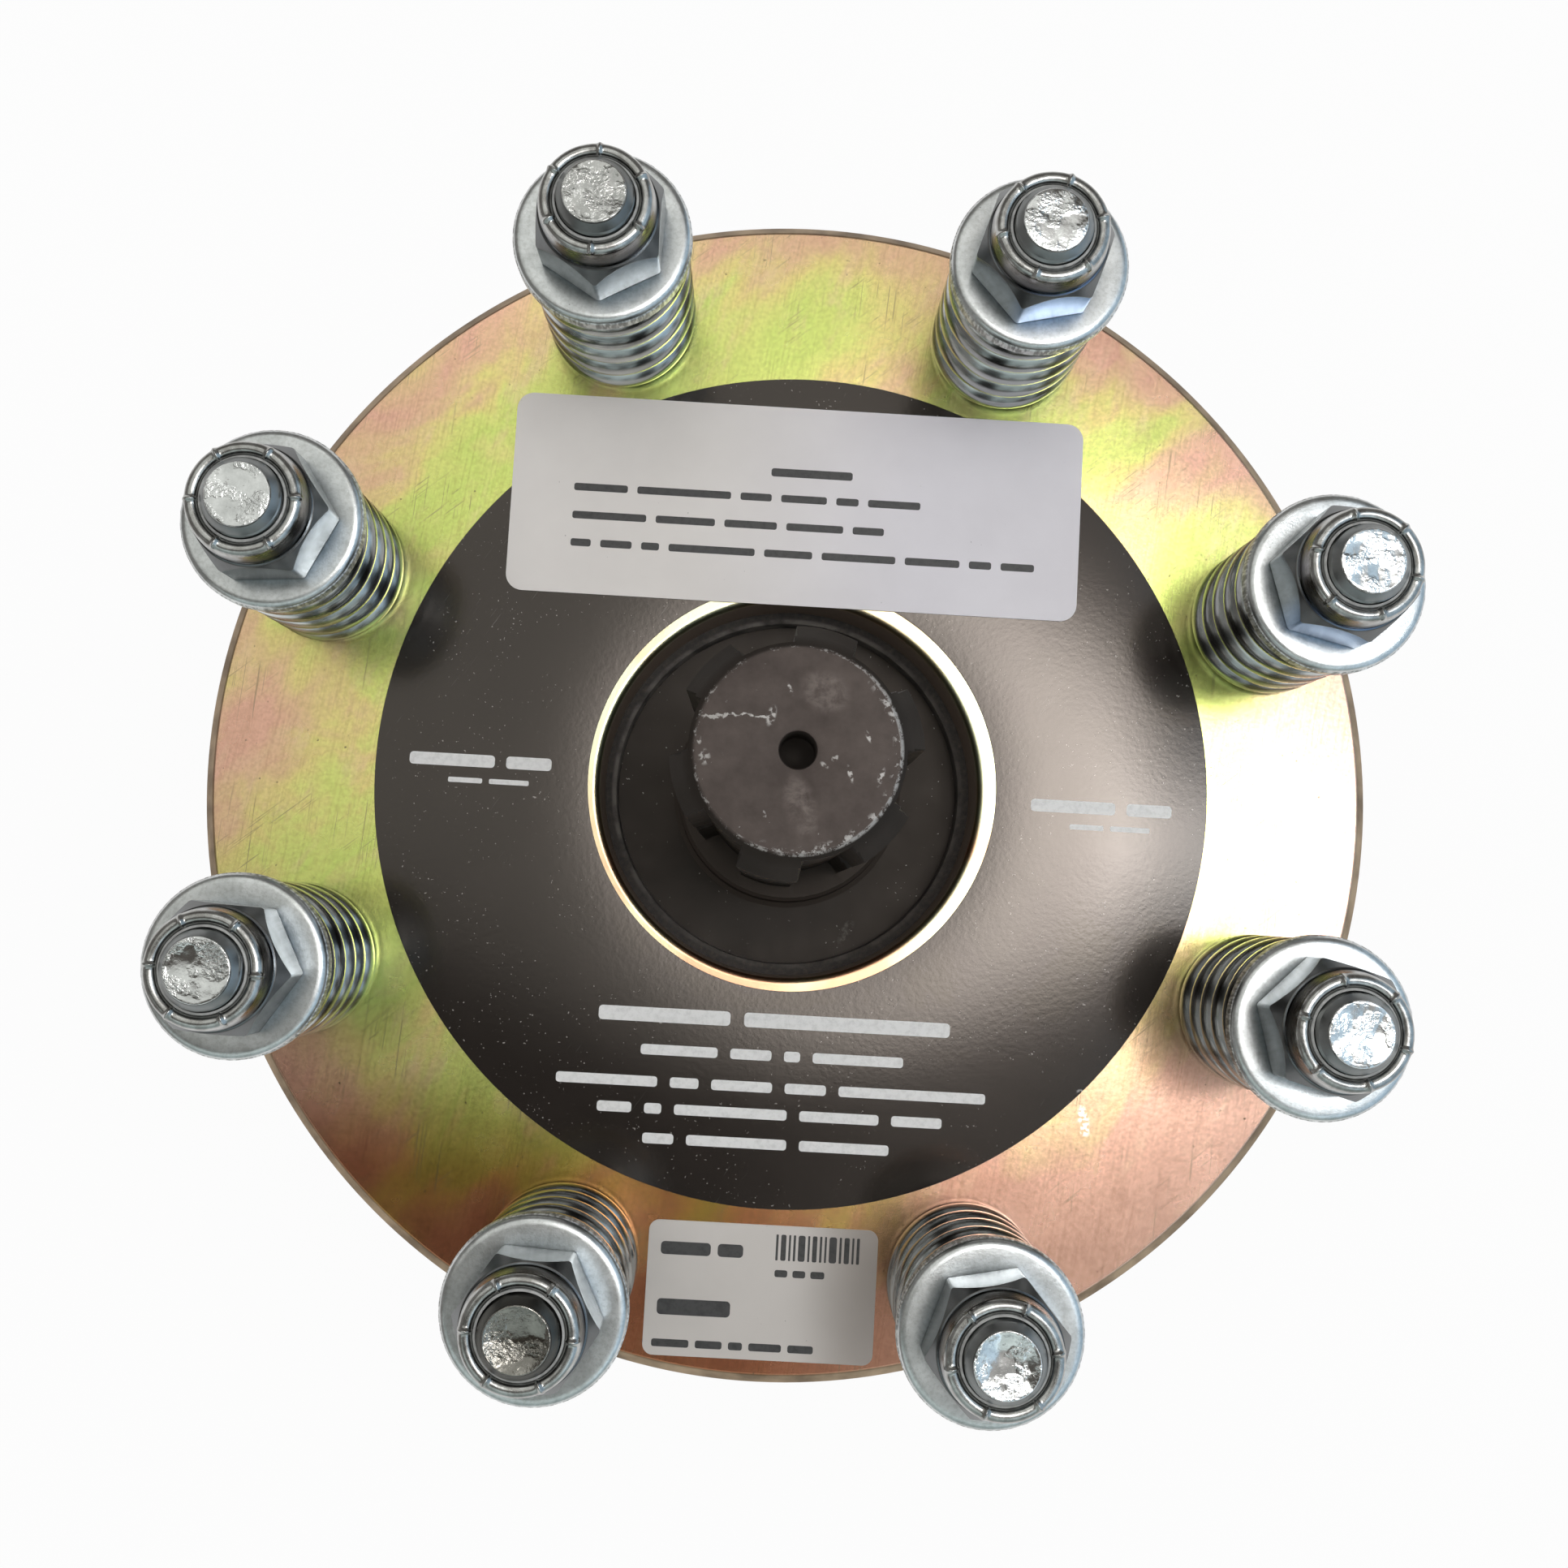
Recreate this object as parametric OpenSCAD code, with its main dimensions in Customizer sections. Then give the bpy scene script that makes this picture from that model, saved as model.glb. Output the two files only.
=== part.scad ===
// In-line friction torque limiter for a tractor's power take-off drive.
// The output shaft points up, along +Z. The part stands on the end face of its splined hub,
// so the origin is the middle of that face.

/* [Plates] */
// Diameter of the pressure plate and of the hub's flange
plate_d = 206; // [180:1:240]
// Thickness of the pressure plate
plate_t = 12; // [8:0.5:16]
// Thickness of the hub's flange
flange_t = 12; // [10:0.5:16]
// Chamfer on the rims of the plate and the flange
rim_chamfer = 1.8; // [0.5:0.1:2.5]
// Opening in the pressure plate, round the output shaft
opening_d = 67.6; // [64:0.1:80]
// Rounding of the top edge of that opening
opening_round = 2.25; // [0.5:0.05:3]

/* [Friction pack] */
// Step from the drive plate's rim in to the rim of the friction discs
disc_inset = 2; // [0.5:0.5:6]
// Inner diameter of the friction discs
disc_hole_d = 63; // [60:0.5:67]
// Thickness of each friction disc
disc_t = 4.5; // [3:0.1:6]
// Gap between the drive plate's rim and the spring bolts
drive_plate_gap = 4.3; // [2:0.1:10]
// Thickness of the drive plate
drive_plate_t = 8; // [6:0.5:12]
// Running gap on each face of the drive plate
face_gap = 0.05; // [0.02:0.01:0.2]

/* [Spring bolts] */
// Number of spring bolts round the plate
bolt_count = 8; // [6:1:8]
// Distance of the bolts' axes from the plate's rim
bolt_inset = 12.7; // [10:0.1:16]
// Thread diameter of the bolts
bolt_d = 12; // [10:0.5:12.5]
// Radial clearance of the bolts in the plates
bolt_clearance = 0.5; // [0.3:0.1:1]
// Length of bolt that stands out of the nut
bolt_standout = 2; // [1:0.5:8]
// Chamfer on the free end of the bolts
bolt_end_chamfer = 1.5; // [0.5:0.1:2]
// Width across the flats of the bolt heads
bolt_head_af = 19; // [17:0.5:22]
// Height of the bolt heads
bolt_head_h = 7.5; // [6:0.5:9]

/* [Springs] */
// Outer diameter of the springs
spring_d = 26.5; // [25:0.5:28]
// Clamped length of the springs
spring_l = 31; // [26:0.5:40]
// Diameter of the spring wire
wire_d = 5.6; // [4:0.1:5.8]
// Gap between neighbouring coils
coil_gap = 0.5; // [0.3:0.1:3]
// Gap that a ground spring end keeps from its seat
seat_gap = 0.05; // [0.02:0.01:0.1]

/* [Washers and nuts] */
// Outer diameter of the spring washers
washer_d = 28.6; // [26:0.1:30]
// Thickness of the spring washers
washer_t = 3; // [2:0.1:4]
// Rounding of the stamped top edge of the washers
washer_round = 0.9; // [0.3:0.1:1.2]
// Width across the flats of the lock nuts
nut_af = 19; // [18:0.5:20]
// Overall height of the lock nuts
nut_h = 13; // [12:0.5:16]
// Height of the six-sided part of the nuts
nut_hex_h = 8.6; // [6:0.1:9]
// Outer diameter of the collar that holds the insert
collar_d = 18.5; // [16.5:0.1:18.8]
// Rounding of the crimped collar
collar_round = 1.9; // [1:0.1:2]
// Mouth of the crimped collar
collar_mouth_d = 13.8; // [13.4:0.1:14.2]
// Thickness of the crimped lip over the insert
collar_lip = 0.9; // [0.6:0.1:1.2]
// Outer diameter of the nylon insert
insert_d = 15.4; // [14.6:0.1:15.6]
// Height of the nylon insert
insert_h = 2.6; // [2:0.1:3]
// Width of the crimp ridges on the collar
ridge_w = 0.9; // [0.5:0.1:1.4]
// Radial clearance of the nut and its insert on the bolt
thread_fit = 0.05; // [0.02:0.01:0.1]

/* [Output shaft] */
// Outer diameter of the six-tooth spline
spline_d = 34.8; // [33:0.1:35]
// Root diameter of the spline
spline_root_d = 29.4; // [28.5:0.1:30]
// Width of a spline tooth
tooth_w = 8.6; // [7.5:0.1:9]
// Height of the shaft's end above the pressure plate
shaft_rise = 66.5; // [60:0.5:90]
// Diameter of the flat end of the shaft
shaft_end_d = 28; // [26:0.5:28.5]
// Length of the chamfer at the shaft's end
shaft_end_chamfer = 4; // [2:0.5:5]
// Distance of the locking groove from the shaft's end
groove_from_end = 38; // [34:0.5:40]
// Radius of the locking groove
groove_r = 6.8; // [5:0.1:7]
// Diameter at the bottom of the locking groove
groove_d = 28; // [26:0.5:29]
// Diameter of the centre hole in the shaft's end
centre_hole_d = 5; // [3:0.5:6]
// Depth of the parallel part of the centre hole
centre_hole_depth = 8; // [4:0.5:12]
// Diameter of the round shank under the spline
shank_d = 40; // [36:0.5:42]
// Height of that shank above the drive plate
shank_h = 8; // [4:0.5:12]
// Diameter of the spigot that runs in the pilot bush
spigot_d = 44; // [43:0.5:46]
// Height of the spigot below the drive plate
spigot_h = 14; // [10:0.5:16]

/* [Flange hub] */
// Outer diameter of the hub
hub_d = 76; // [72:1:84]
// Length of the hub below its flange
hub_l = 76; // [66:1:95]
// Radius of the fillet between the hub and its flange
hub_fillet = 2.5; // [1:0.5:8]
// Chamfer on the end of the hub
hub_chamfer = 2; // [1:0.5:3]
// Radius over the tips of the twenty internal teeth
bore_r = 20.2; // [19.8:0.05:20.4]
// Radius at the bottom of the internal tooth spaces
bore_root_r = 22.3; // [21.8:0.05:22.6]
// Number of internal teeth
bore_teeth = 20; // [16:1:20]
// Width of a tooth space at the tips
space_w = 3.6; // [3:0.1:3.8]
// Width of a tooth space at its bottom
space_root_w = 2.2; // [1.8:0.1:2.6]
// Wall of the pilot bush
bush_wall = 4; // [2:0.5:5]
// Length of the pilot bush
bush_l = 16; // [12:0.5:20]
// Radial running clearance of the spigot in the bush
bush_fit = 0.05; // [0.02:0.01:0.1]
// Play between the bottom of the spigot and the hub's splines
spigot_play = 2; // [1:0.5:4]

/* [Cotter bolt] */
// Diameter of the clamping cotter bolt
cotter_d = 16; // [12:0.5:18]
// Radial clearance of the cotter bolt in its hole
cotter_clearance = 0.3; // [0.2:0.1:0.5]
// Gap between the cotter bolt and the tips of the internal teeth
cotter_gap = 0.1; // [0.05:0.05:0.4]
// Height of the cotter bolt above the hub's end
cotter_z = 30; // [24:1:40]
// Step from the side of the hub in to each bolt seat of the clamp boss
boss_inset = 1; // [0.5:0.1:3]
// Height of the clamp boss
boss_h = 34; // [30:1:40]
// Wall of the boss outside the cotter bolt
boss_wall = 9; // [6:0.5:14]
// Width across the flats of the cotter bolt's head and nut
cotter_af = 24; // [20:1:26]
// Height of the cotter bolt's head
cotter_head_h = 10; // [8:0.5:12]
// Height of the cotter nut
cotter_nut_h = 13; // [10:0.5:16]
// Outer diameter of the cotter washer
cotter_washer_d = 30; // [27:1:32]
// Thickness of the cotter washer
cotter_washer_t = 3; // [2:0.5:4]
// Length of cotter bolt that stands out of its nut
cotter_standout = 4; // [2:0.5:8]

/* [Decal and labels] */
// Thickness of the ring decal and of each label
film_t = 0.2; // [0.1:0.05:0.5]
// Gap between the ring decal and the springs
decal_spring_gap = 3.45; // [1:0.05:8]
// Radial gap between the decal and the rounded edge of the opening
decal_gap = 0.1; // [0.05:0.05:1]
// Width of the wide label
wide_label_w = 102; // [80:0.5:104]
// Height of the wide label
wide_label_h = 36; // [30:0.5:37]
// Gap between the wide label and the springs beyond it
wide_label_gap = 1.7; // [0.5:0.1:3]
// Distance of the wide label's middle to the side
wide_label_x = -1.4; // [-3:0.1:0]
// Corner radius of the wide label
wide_label_r = 3; // [1:0.5:5]
// Gap between the small label and the spring at each side of it
small_label_gap = 1.5; // [0.5:0.1:6]
// Height of the small label
small_label_h = 22.8; // [15:0.1:23]
// Distance of the small label from the plate's rim
small_label_inset = 4.3; // [3.5:0.1:6]
// Corner radius of the small label
small_label_r = 1.8; // [1:0.1:3]

/* [Hidden] */
$fn = 96;
// Overlap of cutting shapes past the faces that they cut
eps = 1;
// Turn of the shaft's first tooth and of each nut, in degrees
spline_turn = 19;
nut_turns = [47, 13, 29, 4, 57, 57, 11, 45];

// Heights of the faces along the axis, from the hub's end up
flange_z = hub_l;
rear_disc_z = flange_z + flange_t;
drive_z = rear_disc_z + disc_t + face_gap;
front_disc_z = drive_z + drive_plate_t + face_gap;
plate_z = front_disc_z + disc_t;
seat_z = plate_z + plate_t;
washer_z = seat_z + spring_l;
nut_z = washer_z + washer_t;
bolt_top_z = nut_z + nut_h + bolt_standout;
shaft_top_z = seat_z + shaft_rise;

// Radii and places that other pieces share
bolt_circle_d = plate_d - 2 * bolt_inset;
drive_plate_d = bolt_circle_d - bolt_d - 2 * drive_plate_gap;
disc_d = drive_plate_d - 2 * disc_inset;
decal_d = bolt_circle_d - spring_d - 2 * decal_spring_gap;
bolt_hole_d = bolt_d + 2 * bolt_clearance;
nut_bore_d = bolt_d + 2 * thread_fit;
washer_hole_d = bolt_d + 2 * bolt_clearance;
insert_z = nut_h - collar_lip - insert_h;
bush_d = spigot_d + 2 * (bush_fit + bush_wall);
bush_z = rear_disc_z - bush_l;
spigot_z = drive_z - spigot_h;
bush_seat_z = min(bush_z, spigot_z - spigot_play);
cotter_y = bore_r + cotter_gap + cotter_d / 2;
boss_half_w = hub_d / 2 - boss_inset;
boss_y = cotter_y + cotter_d / 2 + boss_wall;
boss_corner_r = norm([boss_half_w, boss_y]) - boss_wall / 2;
coil_r = (spring_d - wire_d) / 2;
coil_pitch = wire_d + coil_gap;
half_step = 180 / bolt_count;
wide_label_y = (bolt_circle_d * cos(half_step) - spring_d - wide_label_h) / 2 - wide_label_gap;
wide_label_z = seat_z + film_t;
small_label_w = bolt_circle_d * sin(half_step) - spring_d - 2 * small_label_gap;
small_label_y = plate_d / 2 - small_label_inset - small_label_h / 2;

// Spring mesh: rings along the wire, and points round each ring
rings_per_turn = 16;
ring_points = 8;

NUMBERED = ["spring_bolt_", "spring_", "spring_washer_", "lock_nut_", "nylon_insert_"];

// Points of an arc, from angle a to angle b
function arc(x, y, r, a, b, steps = 6) =
    [for (i = [0 : steps]) let (t = a + (b - a) * i / steps) [x + r * cos(t), y + r * sin(t)]];

// Round disc with a hole and chamfered outer rims
module chamfered_disc(d, hole_d, t, chamfer) {
    rotate_extrude()
        polygon([
            [hole_d / 2, 0],
            [d / 2 - chamfer, 0],
            [d / 2, chamfer],
            [d / 2, t - chamfer],
            [d / 2 - chamfer, t],
            [hole_d / 2, t]
        ]);
}

// Plain ring
module ring(d, hole_d, t) {
    difference() {
        cylinder(d = d, h = t);
        translate([0, 0, -eps]) cylinder(d = hole_d, h = t + 2 * eps);
    }
}

// Six-sided prism whose end corners are turned off at 30 degrees
module hex_prism(af, h, bottom_cut, top_cut) {
    corner_d = af / cos(30);
    drop = (corner_d - af) / 2 * tan(30);
    intersection() {
        cylinder(d = corner_d, h = h, $fn = 6);
        rotate_extrude()
            polygon([
                [0, 0],
                [bottom_cut ? af / 2 : corner_d / 2 + eps, 0],
                [bottom_cut ? corner_d / 2 : corner_d / 2 + eps, drop],
                [top_cut ? corner_d / 2 : corner_d / 2 + eps, h - drop],
                [top_cut ? af / 2 : corner_d / 2 + eps, h],
                [0, h]
            ]);
    }
}

// Threaded rod with a chamfered free end
module bolt_shank(d, h, chamfer) {
    cylinder(d = d, h = h - chamfer);
    translate([0, 0, h - chamfer]) cylinder(d1 = d, d2 = d - 2 * chamfer, h = chamfer);
}

// Flat film with rounded corners, centred on the axis
module film(w, h, r) {
    linear_extrude(film_t) {
        square([w, h - 2 * r], center = true);
        square([w - 2 * r, h], center = true);
        for (x = [-1, 1], y = [-1, 1])
            translate([x * (w / 2 - r), y * (h / 2 - r)]) circle(r);
    }
}

// Holes for all the spring bolts
module bolt_holes(z, t) {
    for (n = [1 : bolt_count])
        at_bolt(n)
            translate([0, 0, z - eps]) cylinder(d = bolt_hole_d, h = t + 2 * eps);
}

// Places a piece at spring bolt n
module at_bolt(n) {
    rotate((n - 0.5) * 360 / bolt_count) translate([bolt_circle_d / 2, 0, 0]) children();
}

// Places a piece on the axis of the cotter bolt, x along the bolt from the hub's middle
module at_cotter(x) {
    translate([x, cotter_y, cotter_z]) rotate([0, 90, 0]) children();
}

// Hub and flange, forged and turned as one piece
module flange_hub() {
    color("#26272a")
    difference() {
        union() {
            translate([0, 0, flange_z]) chamfered_disc(plate_d, 2 * bore_r, flange_t, rim_chamfer);
            hub_barrel();
            clamp_boss();
        }
        translate([0, 0, bush_seat_z]) cylinder(d = bush_d, h = rear_disc_z - bush_seat_z + eps);
        internal_spline();
        bolt_holes(flange_z, flange_t);
        at_cotter(-boss_half_w - eps)
            cylinder(d = cotter_d + 2 * cotter_clearance, h = 2 * (boss_half_w + eps));
    }
}

// Turned barrel of the hub, with a fillet up to the flange
module hub_barrel() {
    rotate_extrude()
        polygon(concat(
            [[0, 0], [hub_d / 2 - hub_chamfer, 0], [hub_d / 2, hub_chamfer]],
            arc(hub_d / 2 + hub_fillet, flange_z - hub_fillet, hub_fillet, 180, 90),
            [[hub_d / 2 + hub_fillet, flange_z + eps], [0, flange_z + eps]]
        ));
}

// Boss on the side of the hub that carries the cotter bolt
module clamp_boss() {
    intersection() {
        translate([-boss_half_w, 0, cotter_z - boss_h / 2]) cube([2 * boss_half_w, boss_y, boss_h]);
        translate([0, 0, cotter_z - boss_h / 2]) cylinder(r = boss_corner_r, h = boss_h);
    }
}

// Bore and tooth spaces of the splined socket, with a chamfered mouth
module internal_spline() {
    depth = bush_seat_z + 2 * eps;
    translate([0, 0, -eps]) cylinder(r = bore_r, h = depth);
    lead = bore_root_r - bore_r;
    translate([0, 0, -eps]) cylinder(r1 = bore_root_r + eps, r2 = bore_r, h = lead + eps);
    for (k = [1 : bore_teeth])
        rotate(k * 360 / bore_teeth)
            translate([0, 0, -eps])
                linear_extrude(depth)
                    polygon([
                        [bore_r - eps, -space_w / 2],
                        [bore_root_r, -space_root_w / 2],
                        [bore_root_r, space_root_w / 2],
                        [bore_r - eps, space_w / 2]
                    ]);
}

// Bush in the flange that centres the shaft's spigot
module pilot_bush() {
    color("#b08d57")
    translate([0, 0, bush_z]) ring(bush_d, spigot_d + 2 * bush_fit, bush_l);
}

module cotter_bolt() {
    grip = 2 * boss_half_w + cotter_washer_t + cotter_nut_h + cotter_standout;
    color("#c4c8cb")
    at_cotter(-boss_half_w) {
        bolt_shank(cotter_d, grip, bolt_end_chamfer);
        mirror([0, 0, 1]) hex_prism(cotter_af, cotter_head_h, false, true);
    }
}

module cotter_washer() {
    color("#c4c8cb")
    at_cotter(boss_half_w) ring(cotter_washer_d, cotter_d + 2 * cotter_clearance, cotter_washer_t);
}

module cotter_nut() {
    color("#c4c8cb")
    at_cotter(boss_half_w + cotter_washer_t)
        difference() {
            hex_prism(cotter_af, cotter_nut_h, true, true);
            translate([0, 0, -eps]) cylinder(d = cotter_d + 2 * thread_fit, h = cotter_nut_h + 2 * eps);
        }
}

module friction_disc() {
    color("#5a4636") ring(disc_d, disc_hole_d, disc_t);
}

module rear_friction_disc() {
    translate([0, 0, rear_disc_z]) friction_disc();
}

module front_friction_disc() {
    translate([0, 0, front_disc_z]) friction_disc();
}

// Disc that slips between the friction discs when the clutch is overloaded
module drive_plate() {
    color("#2a2828")
    translate([0, 0, drive_z]) ring(drive_plate_d, shank_d, drive_plate_t);
}

// Splined shaft with its shank in the drive plate and its spigot in the bush
module output_shaft() {
    spline_z = drive_z + drive_plate_t + shank_h;
    color("#2c2a29")
    difference() {
        union() {
            translate([0, 0, spigot_z]) cylinder(d = spigot_d, h = spigot_h);
            translate([0, 0, drive_z - eps]) cylinder(d = shank_d, h = spline_z - drive_z + eps);
            intersection() {
                shaft_envelope(spline_z);
                spline_teeth(spline_z);
            }
        }
        locking_groove();
        translate([0, 0, shaft_top_z - centre_hole_depth])
            cylinder(d = centre_hole_d, h = centre_hole_depth + eps);
        translate([0, 0, shaft_top_z - centre_hole_depth - centre_hole_d / 2])
            cylinder(d1 = 0, d2 = centre_hole_d, h = centre_hole_d / 2);
    }
}

// Outside of the splined length, with its chamfered end
module shaft_envelope(z) {
    straight = shaft_top_z - shaft_end_chamfer - z;
    translate([0, 0, z]) cylinder(d = spline_d, h = straight);
    translate([0, 0, z + straight]) cylinder(d1 = spline_d, d2 = shaft_end_d, h = shaft_end_chamfer);
}

module spline_teeth(z) {
    h = shaft_top_z - z;
    translate([0, 0, z]) {
        cylinder(d = spline_root_d, h = h);
        for (k = [0 : 5])
            rotate(spline_turn + k * 60)
                translate([0, -tooth_w / 2, 0]) cube([spline_d, tooth_w, h]);
    }
}

// Round groove across the teeth for the mating yoke's lock
module locking_groove() {
    translate([0, 0, shaft_top_z - groove_from_end])
        rotate_extrude()
            translate([groove_d / 2 + groove_r, 0]) circle(groove_r);
}

// Plate that the springs press on the friction discs
module pressure_plate() {
    color("#c9b36b")
    translate([0, 0, plate_z])
        difference() {
            chamfered_disc(plate_d, opening_d, plate_t, rim_chamfer);
            translate([0, 0, plate_t - opening_round]) opening_edge();
            bolt_holes(0, plate_t);
        }
}

// What is cut away where the top edge of the opening is rounded
module opening_edge() {
    inner = opening_d / 2 - eps;
    outer = opening_d / 2 + opening_round;
    rotate_extrude()
        polygon(concat(
            [[inner, 0]],
            arc(outer, 0, opening_round, 180, 90),
            [[outer, opening_round + eps], [inner, opening_round + eps]]
        ));
}

// Ring of film round the opening
module ring_decal() {
    color("#1d1c1c")
    translate([0, 0, seat_z]) ring(decal_d, opening_d + 2 * (opening_round + decal_gap), film_t);
}

// Label that lies across the decal and the edge of the opening
module wide_label() {
    color("#dcdcdf")
    translate([wide_label_x, wide_label_y, wide_label_z]) film(wide_label_w, wide_label_h, wide_label_r);
}

// Label on the plate between two spring bolts
module small_label() {
    color("#ececee")
    translate([0, -small_label_y, seat_z]) film(small_label_w, small_label_h, small_label_r);
}

// Bolt from the back of the flange to its nut
module spring_bolt() {
    color("#c4c8cb")
    translate([0, 0, flange_z]) {
        bolt_shank(bolt_d, bolt_top_z - flange_z, bolt_end_chamfer);
        mirror([0, 0, 1]) hex_prism(bolt_head_af, bolt_head_h, false, true);
    }
}

// Angle of point j round the wire's section, whose middle is at height z. Where the ground end
// at low or high cuts the section, the points share out the arc that is left.
function wire_angle(j, z, low, high) =
    let (flat = 90 - 180 / ring_points)
    let (low_cut = max(-flat, asin(max(-1, 2 * (low - z) / wire_d))))
    let (high_cut = min(flat, asin(min(1, 2 * (high - z) / wire_d))))
    let (opposite = (j + ring_points / 2) % ring_points)
    high_cut < flat
        ? 180 - high_cut + (180 + 2 * high_cut) * opposite / (ring_points - 1)
        : low_cut + (180 - 2 * low_cut) * j / (ring_points - 1);

// Point j of the wire's section after t turns of the coil
function wire_point(j, t, z, low, high) =
    let (a = wire_angle(j, z, low, high))
    let (r = coil_r + wire_d / 2 * cos(a))
    [r * cos(360 * t), r * sin(360 * t), z + wire_d / 2 * sin(a)];

// Coil of round wire with both ends ground flat
module spring() {
    low = seat_gap;
    high = spring_l - seat_gap;
    // Middle of the wire at its tips, so that a quarter of the wire is left there
    start = low - wire_d / 4;
    turns = (high - low + wire_d / 2) / coil_pitch;
    rings = ceil(turns * rings_per_turn);
    points = [
        for (i = [0 : rings])
            let (t = turns * i / rings)
            for (j = [0 : ring_points - 1]) wire_point(j, t, start + coil_pitch * t, low, high)
    ];
    sides = [
        for (i = [0 : rings - 1])
            for (j = [0 : ring_points - 1])
                let (a = i * ring_points + j)
                let (b = i * ring_points + (j + 1) % ring_points)
                for (face = [[a, b, b + ring_points], [a, b + ring_points, a + ring_points]]) face
    ];
    last = rings * ring_points;
    ends = [
        for (j = [1 : ring_points - 2])
            for (face = [[0, j + 1, j], [last, last + j, last + j + 1]]) face
    ];
    color("#b9bdc0")
    translate([0, 0, seat_z]) polyhedron(points, concat(sides, ends));
}

// Stamped washer with a rounded top edge
module spring_washer() {
    color("#c9cccf")
    translate([0, 0, washer_z])
        rotate_extrude()
            polygon(concat(
                [[washer_hole_d / 2, 0], [washer_d / 2, 0]],
                arc(washer_d / 2 - washer_round, washer_t - washer_round, washer_round, 0, 90),
                [[washer_hole_d / 2, washer_t]]
            ));
}

// Lock nut: six-sided body, crimped collar and a groove for the insert
module lock_nut(n) {
    color("#a9adb0")
    translate([0, 0, nut_z])
        rotate(nut_turns[(n - 1) % len(nut_turns)] - (n - 0.5) * 360 / bolt_count)
        difference() {
            union() {
                hex_prism(nut_af, nut_hex_h, false, true);
                nut_collar();
                for (k = [0 : 5])
                    rotate(k * 60) crimp_ridge();
            }
            translate([0, 0, -eps]) cylinder(d = nut_bore_d, h = nut_h);
            translate([0, 0, insert_z]) cylinder(d = insert_d, h = insert_h);
            translate([0, 0, insert_z + insert_h / 2])
                cylinder(d = collar_mouth_d, h = insert_h / 2 + collar_lip + eps);
        }
}

// Collar crimped over the insert
module nut_collar() {
    rotate_extrude()
        polygon(concat(
            [[0, 0], [collar_d / 2, 0]],
            arc(collar_d / 2 - collar_round, nut_h - collar_round, collar_round, 0, 90),
            [[0, nut_h]]
        ));
}

// Ridge left by the crimping tool, along the top of the collar
module crimp_ridge() {
    ridge_l = collar_d / 2 - collar_round / 2 - bolt_d / 2;
    translate([bolt_d / 2, 0, nut_h - ridge_w / 4])
        rotate([0, 90, 0]) cylinder(d = ridge_w, h = ridge_l, $fn = 24);
}

// Nylon ring that grips the thread
module nylon_insert() {
    color("#4b4c4c")
    translate([0, 0, nut_z + insert_z]) ring(insert_d, nut_bore_d, insert_h);
}

flange_hub();
pilot_bush();
cotter_bolt();
cotter_washer();
cotter_nut();
rear_friction_disc();
drive_plate();
output_shaft();
front_friction_disc();
pressure_plate();
ring_decal();
wide_label();
small_label();
for (n = [1 : bolt_count]) {
    at_bolt(n) spring_bolt();
    at_bolt(n) spring();
    at_bolt(n) spring_washer();
    at_bolt(n) lock_nut(n);
    at_bolt(n) nylon_insert();
}
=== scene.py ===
"""Looks of a friction torque limiter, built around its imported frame.

Sizes are in millimetres and turn into metres where a mesh is made. Heights come from the frame.
"""
import math

import bmesh
import bpy
import numpy as np
from mathutils import Matrix, Vector

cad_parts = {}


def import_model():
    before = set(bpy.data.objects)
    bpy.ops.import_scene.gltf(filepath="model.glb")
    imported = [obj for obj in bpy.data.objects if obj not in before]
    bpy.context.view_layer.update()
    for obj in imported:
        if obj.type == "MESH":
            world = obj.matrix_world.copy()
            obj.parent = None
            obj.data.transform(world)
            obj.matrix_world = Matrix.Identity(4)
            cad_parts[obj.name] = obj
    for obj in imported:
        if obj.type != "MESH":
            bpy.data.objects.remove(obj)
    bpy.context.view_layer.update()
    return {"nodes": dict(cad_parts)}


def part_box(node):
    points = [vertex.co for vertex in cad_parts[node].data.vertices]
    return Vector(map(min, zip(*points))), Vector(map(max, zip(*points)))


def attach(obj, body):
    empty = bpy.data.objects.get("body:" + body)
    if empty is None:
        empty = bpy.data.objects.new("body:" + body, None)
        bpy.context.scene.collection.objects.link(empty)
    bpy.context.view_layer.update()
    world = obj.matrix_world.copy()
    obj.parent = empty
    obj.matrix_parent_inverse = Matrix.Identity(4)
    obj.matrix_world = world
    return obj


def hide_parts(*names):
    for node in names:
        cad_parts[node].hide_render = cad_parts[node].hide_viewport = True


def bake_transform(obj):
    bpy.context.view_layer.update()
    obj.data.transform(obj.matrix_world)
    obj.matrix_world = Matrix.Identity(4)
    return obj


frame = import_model()

MM = 0.001
TURN = 2 * math.pi


def bottom(node):
    """Lowest height of a CAD node, in millimetres."""
    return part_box(node)[0][2] / MM


def top(node):
    """Highest height of a CAD node, in millimetres."""
    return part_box(node)[1][2] / MM


# Heights of the main faces
PLATE_TOP = top("pressure_plate")
PLATE_BOTTOM = bottom("pressure_plate")
FLANGE_TOP = top("flange_hub")
WASHER_BOTTOM = bottom("spring_washer_1")
NUT_BOTTOM = bottom("lock_nut_1")
BOLT_TOP = top("spring_bolt_1")
DRIVE_BOTTOM = bottom("drive_plate")
DRIVE_TOP = top("drive_plate")
SHAFT_BOTTOM = bottom("output_shaft")
SHAFT_TOP = top("output_shaft")

# Plates and discs
PLATE_R = 103.0
RIM_CHAMFER = 1.8
OPENING_R = 33.5
OPENING_ROUND = 1.2
# Radius of the bare lip round the opening
LIP_R = 37.4
FLANGE_T = 12.0
DISC_R = 78.0
DISC_HOLE_R = 31.5
DRIVE_R = 80.0

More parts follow.
